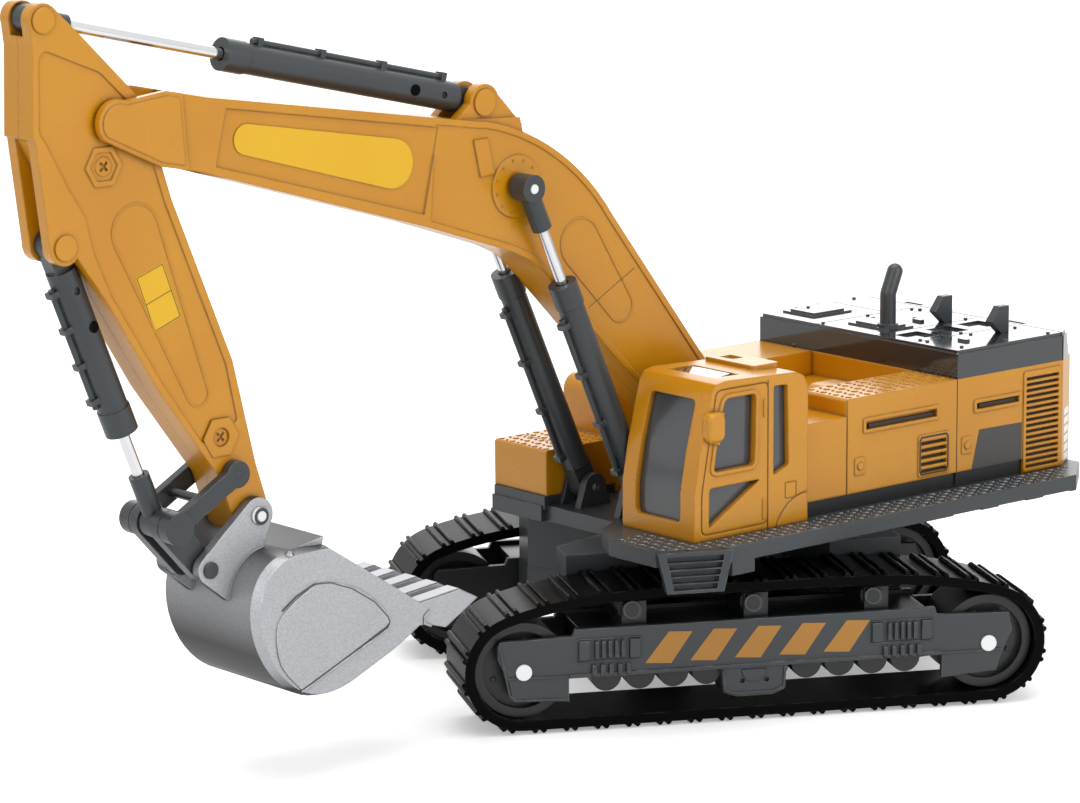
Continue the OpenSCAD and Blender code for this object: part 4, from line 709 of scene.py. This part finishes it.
bm = bmesh.new()
for i in range(MARK_COUNT):
    z = MARK_TOP - i * MARK_PITCH
    for side, _ in SIDES:
        prism(bm, oblong(2.2, 7.4, z, z + MARK_H), on_chamfer(side), PAINT_ROOT, PAINT_FILM)
made("corner_marks", "house", white_paint, bm)

# The dark seam at the middle of each side; beside it, on the left the vent's ring, a band of painted
# shade round the vent, and on the right the front seam
bm = bmesh.new()
for side, outline, width, high in ((-1, VENT_RING, 0.45, 0.42), (1, FRONT_SEAM, 0.3, 0.04)):
    wall = flank(side, HOUSE_Y)
    prism(bm, oblong(51.15, 51.42, 45.2, 72.2), wall, -3.5, 0.02)
    line(bm, outline, width, wall, -0.3, high, closed=outline is VENT_RING)
made("house_seams_and_vent_shade", "house", joint_and_recess_shade, bm)

# Lozenges on the tool box, and on the tank to both sides of its strap
studs("tool_box_tread", "house", orange, tread(15.2, 49.8, -34.2, -21.2, 72.1, 2.9, 2.1),
      foot=1.05, top=0.6, height=0.25, sides=4, narrow=0.5)
studs("tank_tread", "house", orange,
      tread(-37.3, -17.5, 17.6, 34.6, 58.6, 2.7, 2.1, keep=lambda x, y: abs(x + 30.3) > 1.2),
      foot=0.95, top=0.55, height=0.22, sides=4, narrow=0.5)


# ---- Engine cover
# A polished dark grey lid that mirrors the studio. Bolt heads are moulded on, and a rivet at its
# front and at its left front corner. The exhaust and two fins are glued in.
LID_ABOVE = 120
CORNER_RIVET = (51.3, -35.8, 78.4)
# Bolts round the lid's right panel, along its seam, on the hatch, round the left panel and along
# its seam, from the slewing axis
BOLTS = [(63, 34.5), (71, 34.5), (63.5, 30.5), (71, 30.5), (84.5, 35),
         (53.5, 14.5), (69.5, 14.5), (68, 11), (84.5, 13.5), (85.5, 11.5),
         (75.5, 3.5), (84.5, -6), (74.5, -10),
         (85, -23), (85.5, -34), (70.5, -33.5), (56, -32.5),
         (55, -19), (55, -21.5), (70, -22), (69.5, -19)]
glossy = moulding("gloss_grey_plastic", (40, 45, 49), (35, 40, 44), 0.1, scuff_and_sheen=(120, 126, 132), scuff_and_sheen_share=0.4,
                  bump_height=0.003, coat=0.6)
dress(glossy, "engine_cover")
dress(grey, "exhaust_pipe", "cover_fins")
spots = [(*hit(house(x, y, LID_ABOVE), Vector((0, 0, -1)), "engine_cover"), 0.0) for x, y in BOLTS]
studs("cover_bolts", "house", glossy, spots, foot=0.55, top=0.42, height=0.4, sides=10)
spots = [spot_at("cover_rivet", "engine_cover"), (house(*CORNER_RIVET), Vector((0, -1, 0)), 0.0)]
studs("cover_rivets", "house", glossy, spots, foot=0.5, top=0.25, height=0.35, sides=10)


# ---- Cab
# The orange shell drops over one dark insert that shows in every window. Two hinges and a mirror
# are moulded on the left side, and a glossy pane lies in the roof hatch.
# Each hinge: its place across and above the upper one, and its length
HINGES = ((0.0, 0.0, 4.4), (-0.2, -24.5, 5.2))
HINGE_R, HINGE_TIP_R, HINGE_TIP, HINGE_SIDES = 0.45, 0.25, 0.2, 10
MIRROR_Y = -38
ROOF_PANE = [(-26.6, -18.4), (-20.9, -17.1), (-18.7, -29.8), (-29.7, -33.1)]
glazing = moulding("window_plastic", (72, 75, 78), (62, 65, 68), 0.16, bump_height=0.006, coat=0.3)
pane = moulding("roof_pane", (70, 74, 78), (66, 70, 74), 0.06, bump_height=0.002, coat=1.0, shine=1.0)
dress(orange, "cab_shell")
dress(glazing, "cab_windows")
bm = bmesh.new()
upper_hinge, _, _ = spot_at("upper_hinge", "cab_shell")
for across, above, length in HINGES:
    middle = upper_hinge + Vector((across, 0, above)) * MM
    half = length / 2
    rows = []
    for z, r in ((half, HINGE_TIP_R), (half - HINGE_TIP, HINGE_R),
                 (HINGE_TIP - half, HINGE_R), (-half, HINGE_TIP_R)):
        rows.append([bm.verts.new(middle + Vector((r * math.cos(a), r * math.sin(a), z)) * MM)
                     for a in (k * math.tau / HINGE_SIDES for k in range(HINGE_SIDES))])
    skin(bm, rows)
made("cab_hinges", "house", orange, bm)

bm = bmesh.new()
mirror = soft_corners(-35.9, -30.6, 68.5, 75.7, 1.7)
for low, high, rim in ((-0.4, 1.5, 0.0), (1.5, 2.2, 0.7)):
    prism(bm, mirror, lambda u, v, w: house(u, MIRROR_Y - w, v), low, high, rim)
made("cab_mirror", "house", orange, bm)
bm = bmesh.new()
prism(bm, ROOF_PANE, house, 80.6, 82.15)
made("roof_pane", "house", pane, bm)


# ---- Boom
# Two orange halves screwed together, with a printed yellow panel sunk in each side and a ring of
# moulded rivets round the cylinders' flange at the knee.
BOOM_Y, BOOM_HALF = 2.0, 6.8
KNEE_X, KNEE_Z = -64.8, 128.9
RIVET_COUNT, RIVET_RING, RIVET_TURN, FLANGE_PROUD = 12, 6.3, 0.2, 0.15
yellow = moulding("yellow_panel", (222, 172, 2), (216, 165, 0), 0.3, bump_height=0.008)
dress(orange, "boom_left_half", "boom_right_half", "arm_tube_pin", "bucket_tube_pin", "arm_rod_caps")
dress(steel, "boom_foot_pin", "boom_tube_pins", "boom_screws", "arm_pivot_pin")
dress(yellow, "boom_panels")
spots = []
for side, _ in SIDES:
    for k in range(RIVET_COUNT):
        a = k * math.tau / RIVET_COUNT + RIVET_TURN
        spots.append((house(KNEE_X + RIVET_RING * math.cos(a), BOOM_Y + side * (BOOM_HALF + FLANGE_PROUD),
                            KNEE_Z + RIVET_RING * math.sin(a)), Vector((0, side, 0)), 0.0))
studs("flange_rivets", "boom", orange, spots, foot=0.42, top=0.2, height=0.28)


# ---- Arm
# Two orange halves with a sunk web and hexagon bosses over the screws. A bare yellow sticker with
# a fine dark border and a dark line across it is glued in the web on each side.
ARM_HALF, WEB_DEPTH = 5.5, 0.35
STICKER = [(-173.0, 119.6), (-165.5, 122.3), (-160.8, 109.5), (-168.3, 106.6)]
STICKER_ROOT, INK_LOW, INK_HIGH = -0.1, 0.04, 0.07
BORDER_IN, BORDER_W, MIDDLE_W = 0.335, 0.17, 0.18
ink = moulding("dark_ink", (60, 46, 22), (52, 40, 20), 0.4, bump_height=0.005, radius=0.05)
dress(orange, "arm_left_half", "arm_right_half", "arm_screws")


def shrunk(outline, d):
    """A small convex outline drawn in by d along its edges."""
    n = len(outline)
    area = sum(a[0] * b[1] - b[0] * a[1] for a, b in zip(outline, outline[1:] + outline[:1]))
    inward = 1 if area > 0 else -1
    drawn = []
    for i in range(n):
        p, a, b = (Vector(outline[k % n]) for k in (i, i - 1, i + 1))
        u, v = (p - a).normalized(), (b - p).normalized()
        m = (u + v) / (1 + u.dot(v)) * d * inward
        drawn.append((p.x - m.y, p.y + m.x))
    return drawn


border = shrunk(STICKER, BORDER_IN)
middle_line = [[(border[i][k] + border[j][k]) / 2 for k in (0, 1)] for i, j in ((0, 3), (1, 2))]
for side, name in SIDES:
    web = flank(side, ARM_HALF - WEB_DEPTH, BOOM_Y)
    bm = bmesh.new()
    prism(bm, STICKER, web, STICKER_ROOT, PAINT_FILM)
    made(name + "_sticker", "arm", yellow, bm)
    bm = bmesh.new()
    line(bm, border, BORDER_W, web, INK_LOW, INK_HIGH, closed=True)
    line(bm, middle_line, MIDDLE_W, web, INK_LOW, INK_HIGH)
    made(name + "_sticker_border", "arm", ink, bm)


# ---- Bucket and linkage
# The bucket is coated with a silver lacquer full of fine metal flakes, darkened where it is seen
# aslant as painted shade, with a line pressed round the field of each cheek that is drawn as a
# dark band of painted shade. Its five teeth are bare. Rocker and link are plain grey mouldings.
BUCKET_HALF = 18
TOOTH_COUNT, TOOTH_W, TOOTH_CAP = 5, 4.6, 2.0
FIELD = [(-139.4, 22.5), (-114.1, 33.1), (-113.4, 34.2), (-114.0, 35.6), (-117.8, 39.7), (-124.3, 43.9),
         (-130.3, 46.2), (-134.9, 46.6), (-140.1, 44.5), (-144.1, 41.8)]
FIELD_EDGE = [(-139.18, 22.2), (-113.88, 32.8)]
LIP_MARK = [(-101.6, 35.0), (-103.2, 33.7), (-103.2, 32.1), (-101.2, 31.2)]
TOOTH = [(-104.2, 36.7), (-92.8, 38.0), (-87.5, 35.4), (-87.3, 35.9), (-92.7, 38.75), (-104.3, 37.45)]


def flaked(name, tone, edge, rough):
    """Lacquer with fine flakes, darkened as painted shade where it is seen aslant, and paler on its
    edges, partly wear and partly a painted highlight.
    """
    m = moulding(name, tone, [c - 5 for c in tone], rough, scuff_and_sheen=edge, scuff_and_sheen_share=0.9, bump_height=0.008,
                 radius=0.45, metal=0.4)
    t = m.node_tree
    lacquer = t.nodes["Principled BSDF"].inputs["Base Color"]
    plain = lacquer.links[0].from_socket
    place = add(t, "ShaderNodeTexCoord")
    flakes = add(t, "ShaderNodeTexVoronoi", {"Scale": 5200})
    sparkle = add(t, "ShaderNodeSeparateColor")
    glint = add(t, "ShaderNodeMapRange", {"To Min": 0.84, "To Max": 1.16})
    aslant = add(t, "ShaderNodeLayerWeight", {"Blend": 0.5})
    # Painted shade: the colour darkens where the surface is seen aslant, standing in for the dark that the
    # lacquer mirrors there.
    aslant_shade = add(t, "ShaderNodeMapRange", {"From Min": 0.27, "From Max": 0.6, "To Min": 1.0, "To Max": 0.05})
    both = add(t, "ShaderNodeMath", operation="MULTIPLY")
    toned = add(t, "ShaderNodeVectorMath", operation="SCALE")
    join(t, (place.outputs["Object"], flakes.inputs["Vector"]),
         (flakes.outputs["Color"], sparkle.inputs[0]),
         (sparkle.outputs[0], glint.inputs["Value"]),
         (aslant.outputs["Facing"], aslant_shade.inputs["Value"]),
         (glint.outputs[0], both.inputs[0]),
         (aslant_shade.outputs[0], both.inputs[1]),
         (plain, toned.inputs[0]),
         (both.outputs[0], toned.inputs["Scale"]),
         (toned.outputs[0], lacquer))
    return m


silver = flaked("silver_lacquer", (172, 174, 178), (226, 228, 230), 0.4)
# A dark band of painted shade along the line pressed round each cheek's field.
groove_shade = moulding("painted_groove_shade", (84, 86, 90), (74, 76, 80), 0.4, bump_height=0.005, radius=0.05)
caps = moulding("bare_tooth", (178, 180, 184), (164, 166, 170), 0.36, bump_height=0.008, radius=0.3,
                metal=0.3)
dress(silver, "bucket_shell")
dress(grey, "rocker", "link", "rocker_pin", "link_pin")
dress(steel, "bucket_hinge_pin")
for side, name in SIDES:
    cheek = flank(side, BUCKET_HALF, BOOM_Y)
    bm = bmesh.new()
    line(bm, FIELD, 0.28, cheek, 0.0, 0.29)
    made(name + "_bucket_field_line", "bucket", groove_shade, bm)
    bm = bmesh.new()
    line(bm, FIELD_EDGE, 0.34, cheek, 0.0, 0.4)
    line(bm, LIP_MARK, 0.5, cheek, -0.4, 0.3)
    made(name + "_bucket_field_edge", "bucket", silver, bm)
studs("bucket_rivet", "bucket", silver, [spot_at("bucket_rivet", "bucket_shell")],
      foot=1.1, top=0.5, height=0.6, sides=14)

bm = bmesh.new()
for i in range(TOOTH_COUNT):
    y = BOOM_Y + (i / (TOOTH_COUNT - 1) - 0.5) * (2 * BUCKET_HALF - TOOTH_W)
    prism(bm, TOOTH, lambda u, v, w: house(u, y + w, v), -TOOTH_CAP, TOOTH_CAP)
made("tooth_caps", "bucket", caps, bm)

# The hinge pin's white end in a dark ring
pin_end = [spot_at("bucket_hinge_pin", "bucket_hinge_pin")]
studs("hinge_pin_ring", "bucket", grey, pin_end, foot=1.95, top=1.95, height=0.08, sides=24)
studs("hinge_pin_end", "bucket", steel, pin_end, foot=1.25, top=1.15, height=0.3, sides=24)


# ---- Cylinders
# Grey tubes and sockets on chromed rods. A white pin end shows in the eye of each boom rod, and a
# dark port in the side of the arm's and of the bucket's tube.
EYE_HALF, EYE_STEP, FORK_GAP, TUBE_HALF = 2.1, 0.6, 0.3, 3.2
EYE_Y = BOOM_HALF + 2 * FORK_GAP + TUBE_HALF + EYE_HALF + EYE_STEP
PORT_SUNK = 0.25
chrome = moulding("chrome_rod", (226, 227, 229), (214, 215, 218), 0.1, bump_height=0.002, metal=1.0)
dress(grey, "left_boom_tube", "right_boom_tube", "arm_tube", "bucket_tube",
      "left_boom_rod_eye", "right_boom_rod_eye", "arm_rod_eye", "bucket_rod_eye")
dress(chrome, "left_boom_rod", "right_boom_rod", "arm_rod", "bucket_rod")
for side, name in SIDES:
    eye = house(KNEE_X - 0.1, BOOM_Y + side * EYE_Y, KNEE_Z + 0.1)
    studs(name + "_boom_rod_pin", name + "_boom_rod", steel, [(eye, Vector((0, side, 0)), 0.0)],
          foot=1.2, top=1.05, height=0.2, sides=20)
for tube in ("arm_tube", "bucket_tube"):
    place, normal, _ = spot_at(tube + "_port", tube)
    studs(tube + "_port", tube, rubber, [(place - normal * PORT_SUNK * MM, normal, 0.0)],
          foot=1.3, top=1.3, height=0.42, sides=18)


# ---- Where each thing shows
# Where, in pixels, each feature and fitting of the finished toy shows, and how far the toy's edges
# lie from their image points.
# The tolerance gathers the points of one flat face.
FLAT = 0.05
LID_Z = 0.0785
HEXAGON_TOP, HEXAGON_LOW = (-180.7, 145.0), (-150.9, 80.8)


def points_of(name, keep=lambda p: True):
    """A piece's points, or those that are kept."""
    o = bpy.data.objects[name] if name in bpy.data.objects else nodes[name]
    return [p for p in (o.matrix_world @ v.co for v in o.data.vertices) if keep(p)]


def middle_of(points):
    """Middle of the box round some points."""
    lo = Vector([min(p[i] for p in points) for i in range(3)])
    hi = Vector([max(p[i] for p in points) for i in range(3)])
    return (lo + hi) / 2


def outer_face(name):
    """Middle of the leftmost face of a piece."""
    y = min(p.y for p in points_of(name))
    return middle_of(points_of(name, lambda p: p.y < y + FLAT * MM))


def track_face(name, front):
    """Middle of the outer end of the front or rear axle pin of the left track."""
    along = Vector((math.cos(TRACK_TURN), math.sin(TRACK_TURN), 0))
    across = Vector((-along.y, along.x, 0))
    centre = house(0, 0, 0)
    ends = points_of(name, lambda p: ((p - centre).dot(along) < 0) == front)
    edge = min((p - centre).dot(across) for p in ends)
    return middle_of([p for p in ends if (p - centre).dot(across) < edge + FLAT * MM])


places = {
    "front_axle_pin": track_face("left_axle_pins", True),
    "rear_axle_pin": track_face("left_axle_pins", False),
    "arm_hexagon_top": house(HEXAGON_TOP[0], BOOM_Y - ARM_HALF, HEXAGON_TOP[1]),
    "arm_hexagon_low": house(HEXAGON_LOW[0], BOOM_Y - ARM_HALF, HEXAGON_LOW[1]),
    "arm_tube_pin": outer_face("arm_tube_pin"),
    "bucket_tube_pin": outer_face("bucket_tube_pin"),
    "left_boom_rod_pin": middle_of(points_of("left_boom_rod_pin")),
    "bucket_hinge_pin": outer_face("bucket_hinge_pin"),
    "exhaust_mouth": max(points_of("exhaust_pipe"), key=lambda p: p.z),
    "cover_front_corner": min(points_of("engine_cover", lambda p: p.z > LID_Z),
                              key=lambda p: (p - EYE).length),
    "front_carrier": middle_of(points_of("left_carrier_rims",
                                         lambda p: (p - front_carrier).length < CARRIER_PITCH / 2 * MM)),
    "cover_rivet": middle_of(points_of("cover_rivets", lambda p: p.y > 0)),
    "upper_hinge": middle_of(points_of("cab_hinges", lambda p: p.z > upper_hinge.z - HINGES[0][2] * MM)),
    "bucket_rivet": middle_of(points_of("bucket_rivet")),
    "arm_tube_port": middle_of(points_of("arm_tube_port")),
    "bucket_tube_port": middle_of(points_of("bucket_tube_port")),
}
for name, p in places.items():
    x, y = pixel_of(p)
every = [pixel_of(o.matrix_world @ v.co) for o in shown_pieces() if o.type == "MESH" for v in o.data.vertices]
for name, i, pick in (("left_edge", 0, min), ("right_edge", 0, max),
                      ("top_edge", 1, min), ("bottom_edge", 1, max)):
    round(pick(q[i] for q in every) - image_points[name][i], 1)
bpy.context.scene.view_settings.view_transform = "Standard"
